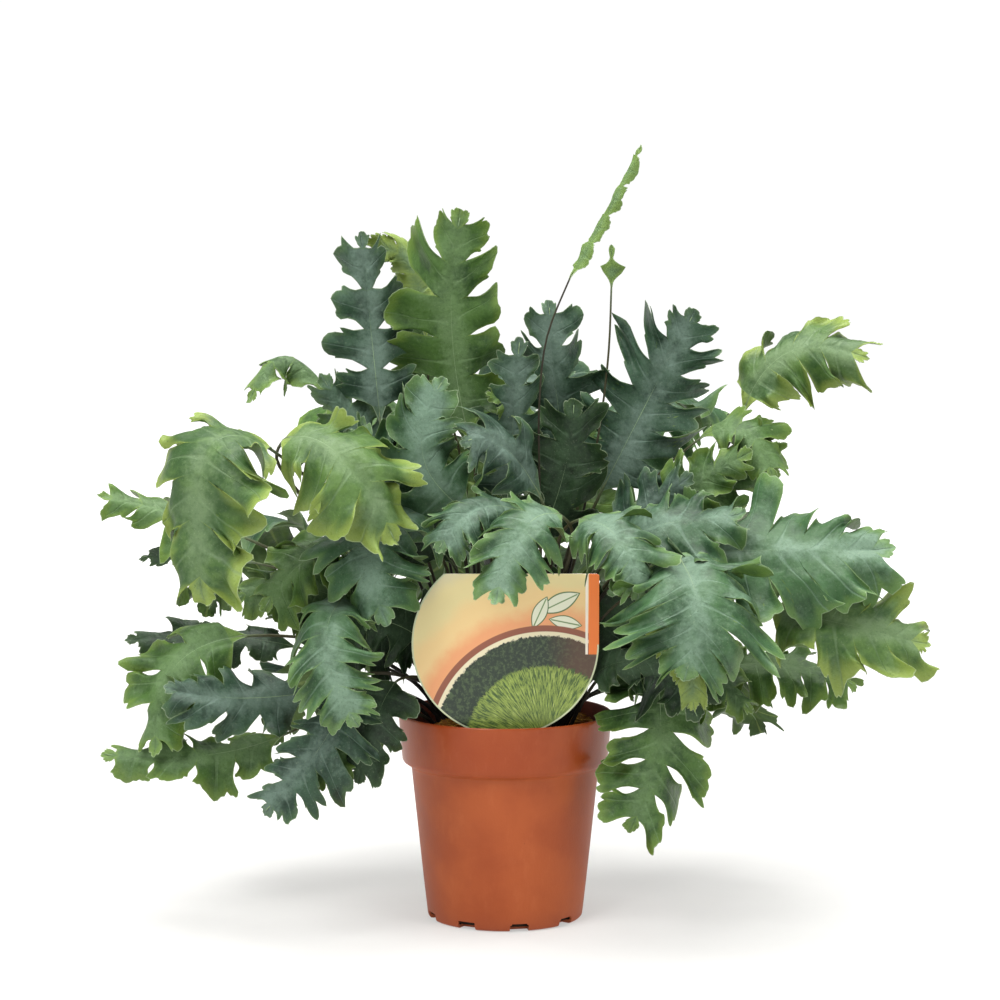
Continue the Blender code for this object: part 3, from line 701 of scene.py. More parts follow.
leafLooks = {
    "blue": {
        "deep": paint(28, 48, 36), "body": paint(50, 76, 56), "bloom": paint(98, 118, 106),
        "margin": paint(74, 102, 60), "marginReach": 0.6, "marginShare": 0.5, "bloomShare": 0.75,
        "teeth": (3, 4), "cut": (0.24, 0.46), "point": 0.9, "ruffle": 0.14, "curl": 0.6, "sinus": 0.76,
        "widen": 0.24, "open": 0.30, "round": (2.4, 0.65), "notch": 0.8, "grow": 1.15,
    },
    "grey": {
        "deep": paint(30, 54, 34), "body": paint(52, 82, 52), "bloom": paint(100, 124, 106),
        "margin": paint(86, 116, 60), "marginReach": 0.8, "marginShare": 0.6, "bloomShare": 0.8,
        "teeth": (3, 5), "cut": (0.20, 0.44), "point": 0.75, "ruffle": 0.17, "curl": 0.8, "sinus": 0.95,
        "widen": 0.50, "open": 0.22, "round": (3.0, 0.5), "notch": 1.1, "grow": 1.2,
    },
    "pale": {
        "deep": paint(38, 64, 40), "body": paint(60, 92, 56), "bloom": paint(106, 130, 110),
        "margin": paint(96, 126, 66), "marginReach": 1.0, "marginShare": 0.7, "bloomShare": 0.85,
        "teeth": (3, 5), "cut": (0.18, 0.42), "point": 0.6, "ruffle": 0.19, "curl": 0.9, "sinus": 1.05,
        "widen": 0.58, "open": 0.20, "round": (3.4, 0.45), "notch": 1.3, "grow": 1.2,
    },
    "green": {
        "deep": paint(34, 60, 26), "body": paint(66, 96, 42), "bloom": paint(100, 126, 84),
        "margin": paint(110, 136, 56), "marginReach": 0.8, "marginShare": 0.6, "bloomShare": 0.6,
        "teeth": (3, 4), "cut": (0.18, 0.40), "point": 0.4, "ruffle": 0.16, "curl": 0.8, "sinus": 0.78,
        "widen": 0.40, "open": 0.26, "round": (3.0, 0.5), "notch": 1.1, "grow": 1.15,
    },
    "lime": {
        "deep": paint(48, 76, 36), "body": paint(78, 106, 50), "bloom": paint(100, 122, 86),
        "margin": paint(130, 148, 66), "marginReach": 1.4, "marginShare": 0.8, "bloomShare": 0.75,
        "teeth": (4, 6), "cut": (0.08, 0.26), "point": 0.3, "ruffle": 0.24, "curl": 1.0, "sinus": 1.1,
        "widen": 0.62, "open": 0.14, "round": (3.8, 0.4), "notch": 2.0, "grow": 1.18,
    },
    # painted shade: darker leaf colours for the fronds and inner leaves that sit in shade
    "dark": {
        "deep": paint(16, 30, 18), "body": paint(34, 56, 30), "bloom": paint(64, 86, 62),
        "margin": paint(52, 76, 34), "marginReach": 0.6, "marginShare": 0.5, "bloomShare": 0.5,
        "teeth": (3, 4), "cut": (0.18, 0.40), "point": 0.6, "ruffle": 0.14, "curl": 0.6, "sinus": 0.95,
        "widen": 0.48, "open": 0.24, "round": (2.8, 0.55), "notch": 0.8, "grow": 1.35,
    },
}

# what single fronds have of their own
frondShapes = {
    "upright_blue": {"sinus": 0.42, "widen": 0.45, "open": 0.34, "cut": (0.28, 0.5), "point": 1.0, "grow": 1.3},
    "upright_green": {"sinus": 0.72, "widen": 0.5, "open": 0.2, "cut": (0.12, 0.38), "curl": 1.0, "grow": 1.2},
    "crest": {"sinus": 0.8, "widen": 0.6, "curl": 1.4, "teeth": (5, 7), "cut": (0.1, 0.22), "grow": 1.7},
    "arched_lime": {"grow": 1.4},
    "tall_rolled": {"sinus": 0.7, "widen": 0.2, "open": 0.1, "notch": 0.6, "round": (2.2, 0.6)},
    "centre_right": {"grow": 1.4, "widen": 0.4},
    "centre_left": {"grow": 1.35},
    "centre_low": {"grow": 1.35},
    "mid_right": {"grow": 1.35},
    "mid_left_inner": {"grow": 1.35},
    "fan_left": {"grow": 1.35, "widen": 0.4},
    "back_middle": {"grow": 1.35},
    "back_high": {"grow": 1.35, "widen": 0.4},
    "hanging_right": {"sinus": 0.5, "widen": 0.5, "open": 0.4, "teeth": (5, 7), "cut": (0.1, 0.24)},
    "fingers_low": {"sinus": 0.5, "widen": 0.1, "round": (2.0, 0.8), "grow": 1.2},
    "fingers": {"sinus": 0.55, "widen": 0.12, "open": 0.15, "round": (2.0, 0.8), "point": 1.0, "grow": 1.3},
    "tiny": {
        "sinus": 0.3, "widen": -0.3, "open": 0.0, "round": (0.8, 1.5), "teeth": (1, 1), "cut": (0.0, 0.05),
        "notch": 0.3, "grow": 1.7, "tip": 1.0,
    },
    "pale_left": {
        "sinus": 0.75, "round": (2.3, 0.6), "point": 0.9, "cut": (0.28, 0.5), "curl": 1.2, "ruffle": 0.24,
        "grow": 1.3,
    },
    "front_middle": {"sinus": 0.85, "point": 0.85, "cut": (0.25, 0.5), "ruffle": 0.22, "grow": 1.3},
    "front_right": {"sinus": 0.85, "point": 0.85, "cut": (0.25, 0.5), "ruffle": 0.22, "grow": 1.25},
    "leaf_left": {"sinus": 0.65, "widen": 0.55, "grow": 1.2},
    "low_left": {"sinus": 0.7, "point": 0.9, "cut": (0.25, 0.5), "grow": 1.2},
    "lime_left": {"grow": 1.4},
    "lime_right": {"grow": 1.4},
    "big_right": {"grow": 1.3},
    "pale_front": {"grow": 1.3},
    "crest_low": {"grow": 1.5, "sinus": 0.7},
}

frondLooks = {
    "blue": "upright_blue fan_right fan_left blue_left low_left centre_right back_high back_right back_low_left",
    "grey": "mid_left_inner centre_grey centre_left centre_low mid_right back_left back_low_right",
    "pale": "pale_left front_middle front_right big_right pale_front back_high_right back_middle",
    "lime": "arched_lime crest lime_left lime_right lime_edge lime_lip",
    # painted shade: these fronds take the darker colours because they sit in shade
    "dark": "fingers_low dark_left low_inner beside_label dark_right shade_left shade_right",
}  # the others are green

bladeShape = {
    "rowsPerTooth": 6,
    "columns": (0.0, 0.05, 0.12, 0.21, 0.32, 0.44, 0.56, 0.68, 0.79, 0.89, 0.96, 1.0),
    "fewColumns": (0.0, 0.13, 0.33, 0.56, 0.78, 0.94, 1.0),  # on the smallest leaves
    "skin": 0.17,  # half of the blade's thickness
    "baseAngle": 94.0,  # side veins leave the midrib at this angle at the foot of the blade
    "tipAngle": 46.0,  # and at this one near its tip
    "channel": 0.30,  # how steeply the blade folds up beside its midrib
    "neckWidth": 0.4,
    "stemSides": 8,
    "footRadius": 1.5,
    "neckRadius": 0.85,
    "tipRadius": 0.25,
    "rooted": 3.0,  # how far the stem's foot goes into the soil
}


# short leaves that fill the crown between the long ones: kind, foot, neck, middle and tip of the blade,
# half width, pairs of lobes, the way the upper side faces
# the inner leaves of the "dark" kind carry painted shade
innerLeaves = {
    "inner_centre": ("dark", (12, 4), (18, 0, 212), (32, -10, 250), (38, -24, 292), 30, 4, (0, -9, 3)),
    "inner_right": ("blue", (22, -2), (50, -5, 198), (75, -15, 228), (102, -25, 252), 28, 4, (1, -9, 4)),
    "inner_left": ("dark", (-14, 0), (-30, -5, 202), (-55, -15, 235), (-78, -20, 262), 28, 4, (-1, -9, 3)),
    "inner_front": ("dark", (4, -12), (2, -8, 185), (5, -22, 215), (2, -34, 246), 26, 3, (0, -9, 5)),
    "inner_low_left": ("dark", (-24, -14), (-45, -24, 160), (-75, -42, 175), (-108, -52, 165), 28, 4, (-1, -9, 4)),
    "inner_low_right": ("dark", (26, -12), (50, -24, 158), (85, -42, 170), (115, -52, 158), 28, 4, (1, -9, 4)),
    "inner_far_left": ("green", (-30, -4), (-74, -18, 172), (-112, -38, 192), (-150, -46, 186), 26, 4, (-1, -8, 5)),
    "inner_foot_left": ("green", (-34, -20), (-60, -38, 124), (-85, -58, 116), (-104, -66, 86), 24, 3, (-1, -9, 4)),
    "inner_foot_right": ("dark", (34, -18), (60, -36, 148), (85, -58, 150), (104, -72, 126), 24, 3, (1, -9, 4)),
    "inner_high_left": ("grey", (-20, 10), (-58, 6, 236), (-80, 0, 272), (-102, -6, 306), 22, 4, (-1, -9, 3)),
    "inner_high_right": ("green", (28, 10), (75, 6, 212), (105, -4, 244), (136, -10, 264), 24, 4, (1, -9, 4)),
    "inner_high": ("blue", (2, 14), (4, 12, 232), (4, 6, 275), (8, -6, 326), 27, 5, (0, -9, 3)),
    "inner_crown": ("dark", (-8, 12), (-12, 22, 210), (-16, 34, 250), (-18, 52, 285), 30, 4, (0, 8, 5)),
    "inner_crown_right": ("grey", (12, 18), (24, 24, 205), (38, 34, 244), (50, 50, 276), 28, 4, (1, 8, 5)),
    "inner_side_left": ("blue", (-36, 8), (-62, 16, 170), (-98, 24, 182), (-132, 30, 164), 28, 4, (-4, 2, 8)),
    "inner_side_right": ("green", (38, 10), (66, 18, 172), (102, 28, 184), (138, 36, 166), 28, 4, (4, 2, 8)),
    "inner_back": ("grey", (0, 26), (0, 50, 196), (2, 78, 222), (4, 106, 216), 30, 4, (0, 7, 7)),
    "inner_back_left": ("green", (-18, 24), (-45, 42, 186), (-74, 62, 208), (-104, 78, 196), 30, 4, (-3, 6, 7)),
    "inner_back_right": ("pale", (20, 24), (46, 42, 186), (74, 62, 206), (104, 76, 194), 30, 4, (3, 6, 7)),
    "inner_back_foot": ("green", (-6, 38), (-22, 62, 150), (-34, 92, 158), (-44, 118, 132), 28, 4, (-1, 7, 5)),
    "inner_back_low": ("grey", (24, 34), (34, 56, 150), (48, 84, 158), (60, 110, 136), 28, 4, (1, 7, 5)),
}


def leafFinish(name):
    look = leafLooks[name]
    leaf = Finish(name + " leaf", specular=0.26)
    coords = leaf.place()
    side, stem, along = leaf.stored("leafMap")
    vein, reach, margin = leaf.stored("leafVein")
    tone, fold, midrib = leaf.stored("leafTone")
    cloud = leaf.noise(coords, 62.0, 3.0, 0.6)
    streak = leaf.noise(leaf.join(vein * 3.0, reach * 1.1, tone * 40.0), 1.7, 3.0, 0.5)
    fine = leaf.noise(coords, 900.0, 3.0, 0.7)
    mottle = leaf.noise(coords, 210.0, 5.0, 0.72)
    patches = leaf.step(cloud * 0.6 + mottle * 0.4 + (tone - 0.5) * 0.14, 0.36, 0.62)
    upper = leaf.blend(look["deep"], look["body"], patches)
    near = 1 - leaf.step(midrib, 0.05, 1.5)
    haze = leaf.noise(coords, 34.0, 4.0, 0.65)
    glaucous = leaf.step(near * 0.22 + mottle * 0.34 + haze * 0.85, 0.60, 0.90)
    upper = leaf.blend(upper, look["bloom"], glaucous * look["bloomShare"])
    edge = 1 - leaf.step(margin + (cloud + mottle - 1.0) * 0.7, 0.0, look["marginReach"])
    upper = leaf.blend(upper, look["margin"], edge * look["marginShare"])
    line = 1 - leaf.step(margin, 0.02, 0.06)
    upper = leaf.blend(upper, paint(176, 190, 160), line * 0.35)
    away = leaf.size(reach)
    ribs = (1 - leaf.step(fold * away, 0.0, 0.004)) * leaf.step(away, 0.0, 0.1)
    upper = leaf.blend(upper, look["bloom"], ribs * 0.45)
    upper = leaf.blend(upper, look["deep"], leaf.step(fine, 0.54, 0.72) * 0.45)
    upper = leaf.blend(upper, paint(170, 182, 150), (1 - leaf.step(fine, 0.26, 0.42)) * 0.16)
    under = leaf.blend(paint(62, 84, 34), paint(92, 118, 46), leaf.step(cloud * 0.6 + streak * 0.4, 0.38, 0.62))
    under = leaf.blend(under, look["body"], 0.35)
    under = leaf.blend(under, paint(136, 156, 84), ribs * 0.5)
    colour = leaf.blend(upper, under, side)
    rising = leaf.blend(paint(24, 18, 15), paint(58, 56, 32), leaf.step(along + (cloud - 0.5) * 0.3, 0.25, 0.9))
    rising = leaf.blend(rising, paint(124, 146, 108), leaf.step(along, 0.85, 1.25))
    leaf.colour(leaf.blend(colour, rising, stem))
    leaf.roughness(0.48 + glaucous * 0.12 + (fine - 0.5) * 0.1 - side * 0.04)
    leaf.bump(cloud * 1.6 + mottle * 0.3 + streak * 0.3 + fine * 0.04 - ribs * 0.2, 0.0012)
    return leaf


def readFrond(node):
    def foot(points):
        nearest = points[np.argmin(np.linalg.norm(points - (0.0, 0.0, 105.0), axis=1))]
        close = np.where(np.linalg.norm(points - nearest, axis=1) < 5)[0]
        return int(close[np.argmin(points[close, 2])])

    rings = readRings(node, foot)
    neck = 6  # rings before the blade
    body = rings[1:-1]
    count = len(body)
    middles = [ring.mean(axis=0) for ring in body]
    widest = max(range(neck, count), key=lambda k: np.linalg.norm(body[k][:, None] - body[k][None], axis=2).max())
    centres, sides, normals = list(middles), [None] * count, [None] * count
    reach = np.zeros(count + 1)
    drops = []
    for k in list(range(widest, count)) + list(range(widest - 1, -1, -1)):
        ring = body[k]
        ahead = unit(middles[min(k + 1, count - 1)] - middles[max(k - 1, 0)])
        if k == widest:
            apart = np.linalg.norm(ring[:, None] - ring[None], axis=2)
            a, b = np.unravel_index(np.argmax(apart), apart.shape)
            side = unit(ring[b] - ring[a])
        else:
            side = sides[k - 1] if k > widest else sides[k + 1]
            side = unit(side - side.dot(ahead) * ahead)
        if k >= neck:
            across = ring @ side
            left, right = int(np.argmin(across)), int(np.argmax(across))
            span = ring[right] - ring[left]
            side = unit(span)
            middle = (ring[left] + ring[right]) / 2
            inner = [m for m in range(6) if m not in (left, right)]
            inner.sort(key=lambda m: abs((ring[m] - middle).dot(side)))
            pair, backs = ring[inner[:2]], ring[inner[2:]].mean(axis=0)
            far = np.linalg.norm(pair - backs, axis=1)
            top, rib = pair[int(np.argmax(far))], pair[int(np.argmin(far))]
            normals[k] = unit(top - rib)
            centres[k] = top - (top - rib) * 0.25
            reach[k] = np.linalg.norm(span) / 2
            if k > neck and (k - neck) % 2 == 0:
                drops.append((centres[k] - middle).dot(normals[k]) / reach[k])
        sides[k] = side
    if np.cross(centres[widest + 1] - centres[widest - 1], normals[widest]).dot(sides[widest]) < 0:
        sides = [-side for side in sides]
    for k in range(neck):
        normals[k] = unit(np.cross(sides[k], middles[k + 1] - middles[max(k - 1, 0)]))
    return {
        "foot": rings[0][0],
        "centres": np.array(centres + [rings[-1][0]]),
        "sides": np.array(sides + [sides[-1]]),
        "normals": np.array(normals + [normals[-1]]),
        "reach": reach,
        "hang": float(np.mean(drops)),
        "neck": neck,
        "lobes": (count - neck - 2) // 2,
    }


def drawBone(foot, neckEnd, middle, tip, width, lobes, facing):  # the same facts for a leaf with no solid
    neck = 6
    count = neck + 2 * lobes + 2
    foot = np.array((*foot, soilTop(*foot)), float)
    neckEnd, middle, tip = (np.array(point, float) for point in (neckEnd, middle, tip))
    t = np.arange(count + 1 - neck)[:, None] / (count - neck)
    control = 2 * middle - (neckEnd + tip) / 2
    blade = neckEnd * (1 - t) ** 2 + control * 2 * t * (1 - t) + tip * t ** 2
    t = np.arange(neck)[:, None] / neck
    length = np.linalg.norm(neckEnd - foot)
    start = np.array((foot[0], foot[1], 90.0)) / 90 * length
    end = unit(control - neckEnd) * length * 0.7
    stipe = foot * (2 * t ** 3 - 3 * t ** 2 + 1) + start * (t ** 3 - 2 * t ** 2 + t)
    stipe = stipe + neckEnd * (3 * t ** 2 - 2 * t ** 3) + end * (t ** 3 - t ** 2)
    centres = np.concatenate([stipe, blade])
    ahead = unit(np.gradient(centres, axis=0))
    normals = np.array(facing, float) - (ahead @ np.array(facing, float))[:, None] * ahead
    normals = unit(normals)
    place = np.clip((np.arange(count + 1) - neck) / (count - neck), 0, 1)
    reach = width * np.sin(math.pi * np.clip(place, 0, 1) ** 0.75) ** 0.6
    reach[neck + 1::2] *= 0.42
    return {
        "foot": foot, "centres": centres, "sides": np.cross(ahead, normals), "normals": normals,
        "reach": reach[:count + 1], "hang": 0.25, "neck": neck, "lobes": lobes,
    }


def planBlade(bone, look, rng):  # the rows of vein lines that both halves of a blade share
    neck, lobes = bone["neck"], bone["lobes"]
    perTooth = bladeShape["rowsPerTooth"] + (0 if bone["reach"].max() > 22 else 3)
    start = bone["lengthAt"](neck + 1)
    x = np.arange(5) / 5
    blocks = [{"lobe": 0, "x": x, "w": -np.ones(5), "s": start * x, "teeth": 1, "half": start}]
    for lobe in range(1, lobes + 1):
        low, middle, high = (bone["lengthAt"](neck + 2 * lobe + shift) for shift in (-1, 0, 1))
        teeth = int(rng.integers(look["teeth"][0], look["teeth"][1] + 1))
        x = -1 + 2 * np.arange(perTooth * teeth) / (perTooth * teeth)
        w = np.sin(math.pi / 2 * x)
        s = middle + w * np.where(w > 0, high - middle, middle - low)
        blocks.append({"lobe": lobe, "x": x, "w": w, "s": s, "teeth": teeth, "half": (high - low) / 2})
    low = bone["lengthAt"](neck + 2 * lobes + 1)
    high = low + (bone["length"] - low) * 0.3
    steps = 5 * perTooth // 2
    x = -1 + np.arange(steps + 1) / steps
    w = np.sin(math.pi / 2 * x)
    s = low + (high - low) * (x + 1)
    blocks.append({"lobe": lobes + 1, "x": x, "w": w, "s": s, "teeth": 2.5, "half": high - low})
    return blocks


def halfBlade(bone, look, blocks, rng):  # margin and movement of one half, one value for each row
    neck, lobes = bone["neck"], bone["lobes"]
    sinusAt = lambda lobe: bone["reach"][neck + 2 * lobe + 1] * look["sinus"]
    rows = []
    for block in blocks:
        x, w, lobe = block["x"], block["w"], block["lobe"]
        ones = np.ones(len(x))
        if lobe == 0:
            edge = bladeShape["neckWidth"] + (sinusAt(0) - bladeShape["neckWidth"]) * x ** 1.3
            rows.append([edge, edge, edge + 1] + [0 * ones] * 9)
            continue
        teeth, count = int(block["teeth"]), len(x)
        if lobe <= lobes:  # teeth of uneven widths
            starts = np.round(np.linspace(0, count, teeth + 1)).astype(int)
            starts[1:-1] += rng.integers(-1, 2, teeth - 1)
        else:
            starts = np.append(np.round(np.arange(teeth + 1) * (count - 1) / block["teeth"]), 2 * count).astype(int)
            starts[-1] = 2 * (count - 1) - starts[-2]
        tooth = np.searchsorted(starts, np.arange(count), side="right") - 1
        place = (np.arange(count) - starts[tooth]) / (starts[tooth + 1] - starts[tooth])
        cuts = rng.uniform(*look["cut"], teeth + 3)
        cut = cuts[tooth] * (1 - place) + cuts[tooth + 1] * place
        peak = np.where(x < 0, 0.64, 0.36) if lobe <= lobes else 0.5 * ones
        spike = np.where(place < peak, place / peak, (1 - place) / (1 - peak))
        roundish = np.sin(math.pi * np.clip(place, 0, 1)) ** 0.6
        shape = look["point"] * spike + (1 - look["point"]) * roundish
        lean = rng.uniform(-0.2, 0.2)
        blunt = rng.uniform(0.0, 0.2, teeth + 3)[tooth] * shape
        power, soft = look["round"]
        if lobe <= lobes:
            grow = look["grow"] if lobe > 1 else min(1.15, look["grow"])
            full = bone["reach"][neck + 2 * lobe] * grow * rng.uniform(0.8, 1.14)
            sinus = sinusAt(lobe - 1) + (sinusAt(lobe) - sinusAt(lobe - 1)) * (w + 1) / 2
        else:
            full = (bone["length"] - block["s"][-1]) + 0.16 * bone["reach"].max()
            sinus = sinusAt(lobes) * ones
            lean, power = 0.0, look.get("tip", 2.6)
        full = max(full, sinus.max() * 1.05)
        belly = np.clip(1 - np.abs(w - lean * (1 - w * w)) ** power, 0, 1) ** soft
        edge = sinus + (full - sinus) * belly * (1 - cut * (1 - shape)) * (1 - blunt)
        small = np.arange(count) + int(rng.integers(0, 4))  # small teeth of four rows each
        deep = rng.uniform(0.4, 1.3, count)[small // 4 % count] * look["notch"]
        edge = edge + (np.abs(np.sin(math.pi * small / 4)) - 0.6) * deep * belly
        rise = rng.uniform(0.05, 0.32) * (1 if lobe % 2 else -1)
        curl = look["curl"] * rng.uniform(-0.7, 1.3)
        twist = rng.uniform(0.12, 0.42)
        wave = look["ruffle"] * rng.uniform(0.6, 1.4)
        beat, phase, jitter = rng.uniform(0.9, 2.2), rng.uniform(0, 1), rng.uniform(-16, 16)
        cup, frill = rng.uniform(-0.24, 0.30), rng.uniform(0.03, 0.08) * np.sin(math.pi * (tooth + place))
        if lobe > lobes:
            rise, curl, twist, jitter = rise * 0.4, curl * 0.5, 0.0, 0.0
        flow = [rise, curl, twist, wave, beat, phase, jitter * (1 - w * w), cup, frill]
        rows.append([edge, sinus, full * ones] + [value * ones for value in flow])
    return [np.concatenate(values)[:, None] for values in zip(*rows)]


def layHalf(bone, look, blocks, half, side):
    edge, sinus, full, rise, curl, twist, wave, beat, phase, jitter, cup, frill = half
    get = lambda key: np.concatenate([block[key] * np.ones(len(block["x"])) for block in blocks])[:, None]
    s, w, x, span, lobe = get("s"), get("w"), get("x"), get("half"), get("lobe")
    length = bone["length"]
    r = edge * np.array(bladeShape["columns" if bone["reach"].max() > 22 else "fewColumns"])[None]
    share = np.clip(s / length, 0, 1)
    ending = lobe > bone["lobes"]
    angle = bladeShape["baseAngle"] + (bladeShape["tipAngle"] - bladeShape["baseAngle"]) * share ** 0.8 + jitter
    angle = angle + side * bone["skew"]
    angle = np.radians(np.where(ending, angle * np.abs(w) ** 0.7, angle))
    free = np.clip((r - sinus) / np.maximum(full - sinus, 1.0), 0, 1.1)
    fan = look["widen"] * free ** 1.2 - look["open"] * np.sin(math.pi * np.clip(free / 0.62, 0, 1))
    ahead = r * np.cos(angle) + np.where(ending, 0.0, w * span * fan)
    out = r * np.sin(angle)
    wide = np.interp(s.ravel(), bone["lobeAt"], bone["lobeReach"])[:, None]
    bend = -bladeShape["channel"] + (math.atan(bone["hang"]) + 0.45) * np.clip(r / wide * 1.7, 0, 1)
    bend = bend + curl * free ** 1.3
    width = np.diff(out, axis=1, prepend=0.0)
    lateral = np.cumsum(width * np.cos(bend), axis=1)
    lift = -np.cumsum(width * np.sin(bend), axis=1)
    scale = np.minimum(full, wide * 1.2)
    lift = lift + twist * scale * w * free + rise * scale * free ** 1.3
    lift = lift + wave * scale * free ** 1.2 * np.sin(2 * math.pi * (beat * x * 0.6 + phase))
    lift = lift + wave * scale * 0.5 * free * np.sin(2 * math.pi * (1.1 * r / wide - phase * 3))
    lift = lift + (cup * w * w * free ** 0.8 + frill * free ** 2) * scale
    for a, b, c in bone["folds"]:
        lift = lift + 1.3 * np.sin(a * (s + ahead) + b * r + c) * np.clip(r / 10, 0, 1)
    flat = (s + ahead).ravel()
    u = np.interp(flat, bone["sTable"], bone["uTable"])
    beyond = np.maximum(flat - length, 0)[:, None] * bone["endAhead"] + np.minimum(flat, 0)[:, None] * bone["startAhead"]
    points = smoothAt(bone["centres"], u) + beyond
    points = points + side * unit(smoothAt(bone["sides"], u)) * lateral.reshape(-1, 1)
    points = points + unit(smoothAt(bone["normals"], u)) * lift.reshape(-1, 1)
    number = lobe + np.where(lobe > 0, (w + 1) / 2, x)
    values = []
    for triple in (
        (number, side * r / np.maximum(full, 1.0), (edge - r) / 10),
        (bone["tone"], w * w, np.abs(lateral) / 10),
        (0.0, 0.0, share),
    ):
        values.append(np.stack([np.broadcast_to(value, r.shape) for value in triple], axis=-1))
    return points.reshape(*r.shape, 3), values


def layStem(bone):  # stipe and midrib as one tube
    neck, last = bone["neck"], len(bone["centres"]) - 1
    u = np.concatenate([np.linspace(0, neck, 26), np.linspace(neck, last, 44)[1:]])
    path = smoothAt(bone["centres"], u)
    rise = np.clip(u / neck, 0, 1)
    climb = np.clip((u - neck) / (last - neck), 0, 1)
    radii = bladeShape["footRadius"] + (bladeShape["neckRadius"] - bladeShape["footRadius"]) * rise ** 0.7
    radii = radii + (bladeShape["tipRadius"] - bladeShape["neckRadius"]) * climb ** 0.8
    radii = radii * min(1.0, 0.45 + bone["reach"].max() / 50)
    path = path - unit(smoothAt(bone["normals"], u)) * (radii * 0.6 * np.clip(climb * 12, 0, 1))[:, None]
    down = unit(bone["foot"] - path[1])
    path = np.concatenate([[bone["foot"] + down * bladeShape["rooted"], bone["foot"] + down * 0.6], path])
    radii[:3] *= (1.28, 1.12, 1.04)
    radii = np.concatenate([[radii[0] * 0.8, radii[0] * 1.15], radii])
    along = np.concatenate([[0, 0], rise + climb])
    body, faces = tubeBody(path, radii, bladeShape["stemSides"], up=unit(bone["normals"].mean(axis=0)))
    along = np.concatenate([np.repeat(along, bladeShape["stemSides"]), [0, 2]])
    return body, faces, along


def growFrond(name, kind, finish, bone, replaced=()):
    look = {**leafLooks[kind], **frondShapes.get(name[6:], {})}
    rng = np.random.default_rng(seedOf(name))
    neck, last = bone["neck"], len(bone["centres"]) - 1
    uTable = np.linspace(neck, last, 240)
    track = smoothAt(bone["centres"], uTable)
    sTable = np.concatenate([[0], np.cumsum(np.linalg.norm(np.diff(track, axis=0), axis=1))])
    lobeRows = np.arange(1, bone["lobes"] + 1) * 2 + neck
    bone.update(uTable=uTable, sTable=sTable, length=sTable[-1], tone=rng.uniform(0, 1))
    bone["lengthAt"] = lambda row: float(np.interp(row, uTable, sTable))
    bone["lobeAt"] = [bone["lengthAt"](row) for row in lobeRows]
    bone["lobeReach"] = bone["reach"][lobeRows]
    bone["endAhead"] = unit(track[-1] - track[-6])
    bone["startAhead"] = unit(track[4] - track[0])
    bone["skew"] = rng.uniform(-6, 6)
    bone["folds"] = [(rng.uniform(0.05, 0.12), rng.uniform(-0.16, 0.16), rng.uniform(0, 6.28)) for _ in range(3)]
    blocks = planBlade(bone, look, rng)
    rightPoints, right = layHalf(bone, look, blocks, halfBlade(bone, look, blocks, rng), 1)
    leftPoints, left = layHalf(bone, look, blocks, halfBlade(bone, look, blocks, rng), -1)
    grid = np.concatenate([leftPoints[:, :0:-1], rightPoints], axis=1)
    values = [np.concatenate([b[:, :0:-1], a], axis=1) for a, b in zip(right, left)]
    rows, columns = grid.shape[:2]
    half = columns // 2
    grid[-1, :half] = grid[-1, :half:-1]  # both halves meet in the tip's vein line
    facing = unit(np.cross(np.gradient(grid, axis=1), np.gradient(grid, axis=0)))
    facing[-1, :half] = facing[-1, :half:-1] = unit(facing[-1, :half] + facing[-1, :half:-1])
    index = np.arange(rows * columns).reshape(rows, columns)
    index[-1, :half] = index[-1, :half:-1]
    thin = np.ones(columns) * bladeShape["skin"]
    thin[[0, -1]] *= 0.55
    offset = facing * thin[None, :, None]
    flat = rows * columns
    points = np.concatenate([(grid + offset).reshape(-1, 3), (grid - offset).reshape(-1, 3)])
    quads = np.stack([index[:-1, :-1], index[:-1, 1:], index[1:, 1:], index[1:, :-1]], axis=-1).reshape(-1, 4)
    ring = np.concatenate([index[:, -1], index[-2::-1, 0]])
    rimQuads = np.stack([ring[:-1], ring[:-1] + flat, ring[1:] + flat, ring[1:]], axis=-1)
    base = index[0]
    baseQuads = np.stack([base[:-1], base[:-1] + flat, base[1:] + flat, base[1:]], axis=-1)
    faces = np.concatenate([quads, quads[:, ::-1] + flat, rimQuads, baseQuads])
    used = np.zeros(2 * flat, bool)
    used[faces.ravel()] = True
    number = np.cumsum(used) - 1
    stemPoints, stemFaces, along = layStem(bone)
    if name == "frond_tall_rolled":  # its stipe is black up to the blade
        along = np.minimum(along, 0.5 + np.maximum(along - 1, 0))
    faces = [tuple(face) for face in number[faces].tolist()]
    faces += [tuple(k + int(used.sum()) for k in face) for face in stemFaces]
    stemValues = [np.zeros((len(stemPoints), 3)) for _ in range(3)]
    stemValues[1][:, 0] = bone["tone"]
    stemValues[2][:, 1] = 1.0
    stemValues[2][:, 2] = along
    points = np.concatenate([points[used], stemPoints])
    piece = addPiece("leafy_" + name.replace("frond_", ""), points, faces, [finish], replaced)
    mesh = piece.data
    for k, label in enumerate(("leafVein", "leafTone", "leafMap")):
        both = np.concatenate([values[k].reshape(-1, 3)] * 2)
        if label == "leafMap":
            both[flat:, 0] = 1.0
        store(mesh, label, np.concatenate([both[used], stemValues[k]]))
    edges = np.zeros(len(mesh.edges) * 2, np.int32)
    mesh.edges.foreach_get("vertices", edges)
    border = np.zeros(len(points), int)
    border[number[ring]] = 1
    border[number[ring + flat]] = 2
    ends = border[edges.reshape(-1, 2)]
    sharp = mesh.attributes.new("sharp_edge", "BOOLEAN", "EDGE")
    sharp.data.foreach_set("value", (ends[:, 0] > 0) & (ends[:, 0] == ends[:, 1]))
    return len(faces)


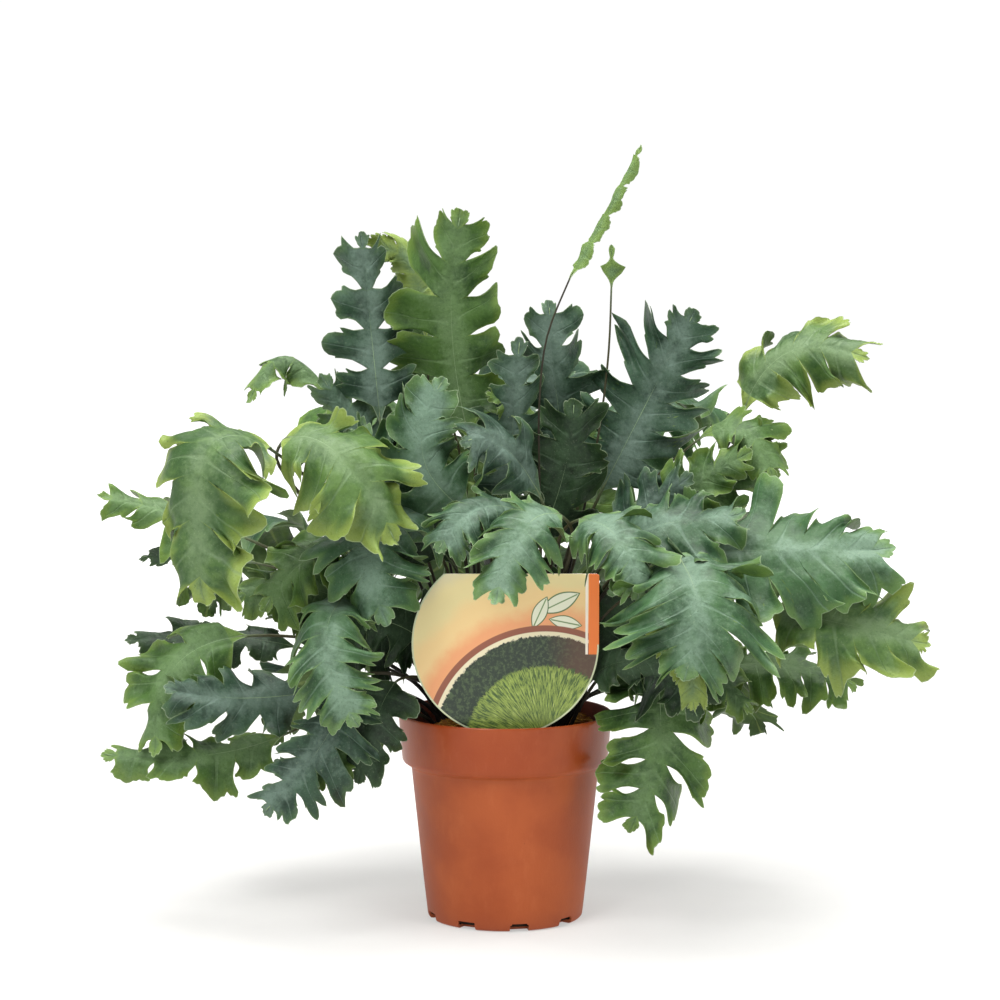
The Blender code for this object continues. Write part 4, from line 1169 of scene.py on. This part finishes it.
finishes = {kind: leafFinish(kind) for kind in leafLooks}
total = 0
for name in sorted(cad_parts):
    if name.startswith("frond_"):
        kind = next((k for k, names in frondLooks.items() if name[6:] in names.split()), "green")
        total += growFrond(name, kind, finishes[kind], readFrond(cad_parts[name]), (name,))
for name, (kind, *places) in innerLeaves.items():
    total += growFrond(name, kind, finishes[kind], drawBone(*places))
print("fronds done with", total, "faces")


# floor, lights and camera

floorMesh = bpy.data.meshes.new("floor")
floorMesh.from_pydata([(-6, -6, -0.0003), (6, -6, -0.0003), (6, 6, -0.0003), (-6, 6, -0.0003)], [], [(0, 1, 2, 3)])
floor = bpy.data.objects.new("floor", floorMesh)
bpy.context.scene.collection.objects.link(floor)
white = Finish("white table", roughness=0.75, specular=0.15)
white.colour(white.blend(paint(172, 171, 168), paint(178, 177, 174), white.noise(white.place(), 30.0, 2.0)))
across, back, up = white.split(white.place())
farther = white.step((across ** 2.0 + back ** 2.0) ** 0.5, 0.5, 2.0)  # keeps the far table as white as the sky
glow = white.blend(paint(178, 178, 177), paint(255, 255, 255), farther)
white.tree.links.new(glow.socket, white.shader.inputs["Emission Color"])
white.shader.inputs["Emission Strength"].default_value = 1.0
floorMesh.materials.append(white.material)

world = bpy.data.worlds.new("studio")
bpy.context.scene.world = world
world.use_nodes = True
sky = world.node_tree.nodes
direction = sky.new("ShaderNodeTexCoord")
height = sky.new("ShaderNodeSeparateXYZ")
fade = sky.new("ShaderNodeMapRange")  # white round the horizon, softer overhead
fade.inputs["From Min"].default_value = 0.2
fade.inputs["From Max"].default_value = 0.45
fade.inputs["To Min"].default_value = 1.03
fade.inputs["To Max"].default_value = 0.34
sky["Background"].inputs["Color"].default_value = (1.0, 1.0, 1.0, 1.0)
world.node_tree.links.new(direction.outputs["Generated"], height.inputs[0])
world.node_tree.links.new(height.outputs[2], fade.inputs["Value"])
world.node_tree.links.new(fade.outputs[0], sky["Background"].inputs["Strength"])


def softbox(name, place, target, size, power):
    light = bpy.data.lights.new(name, "AREA")
    light.shape = "RECTANGLE"
    light.size, light.size_y = size
    light.energy = power
    lamp = bpy.data.objects.new(name, light)
    lamp.location = place
    lamp.rotation_euler = (Vector(target) - Vector(place)).to_track_quat("-Z", "Y").to_euler()
    bpy.context.scene.collection.objects.link(lamp)


softbox("key", (-1.0, -1.3, 1.9), (0, 0, 0.2), (1.2, 1.2), 42)
softbox("fill", (1.6, -1.2, 1.2), (0, 0, 0.2), (0.9, 1.4), 12)
softbox("top", (0.1, 0.1, 2.0), (0, 0, 0.2), (1.5, 1.5), 62)

camera = bpy.data.cameras.new("camera")
camera.sensor_width = 36.0
camera.lens = 102.6
view = bpy.data.objects.new("camera", camera)
view.location = (-0.0029, -1.60, 0.38)
view.rotation_euler = (math.radians(90 - 5.1), 0.0, 0.0)
bpy.context.scene.collection.objects.link(view)
bpy.context.scene.camera = view
bpy.context.scene.view_settings.view_transform = "Standard"
print("stage done")
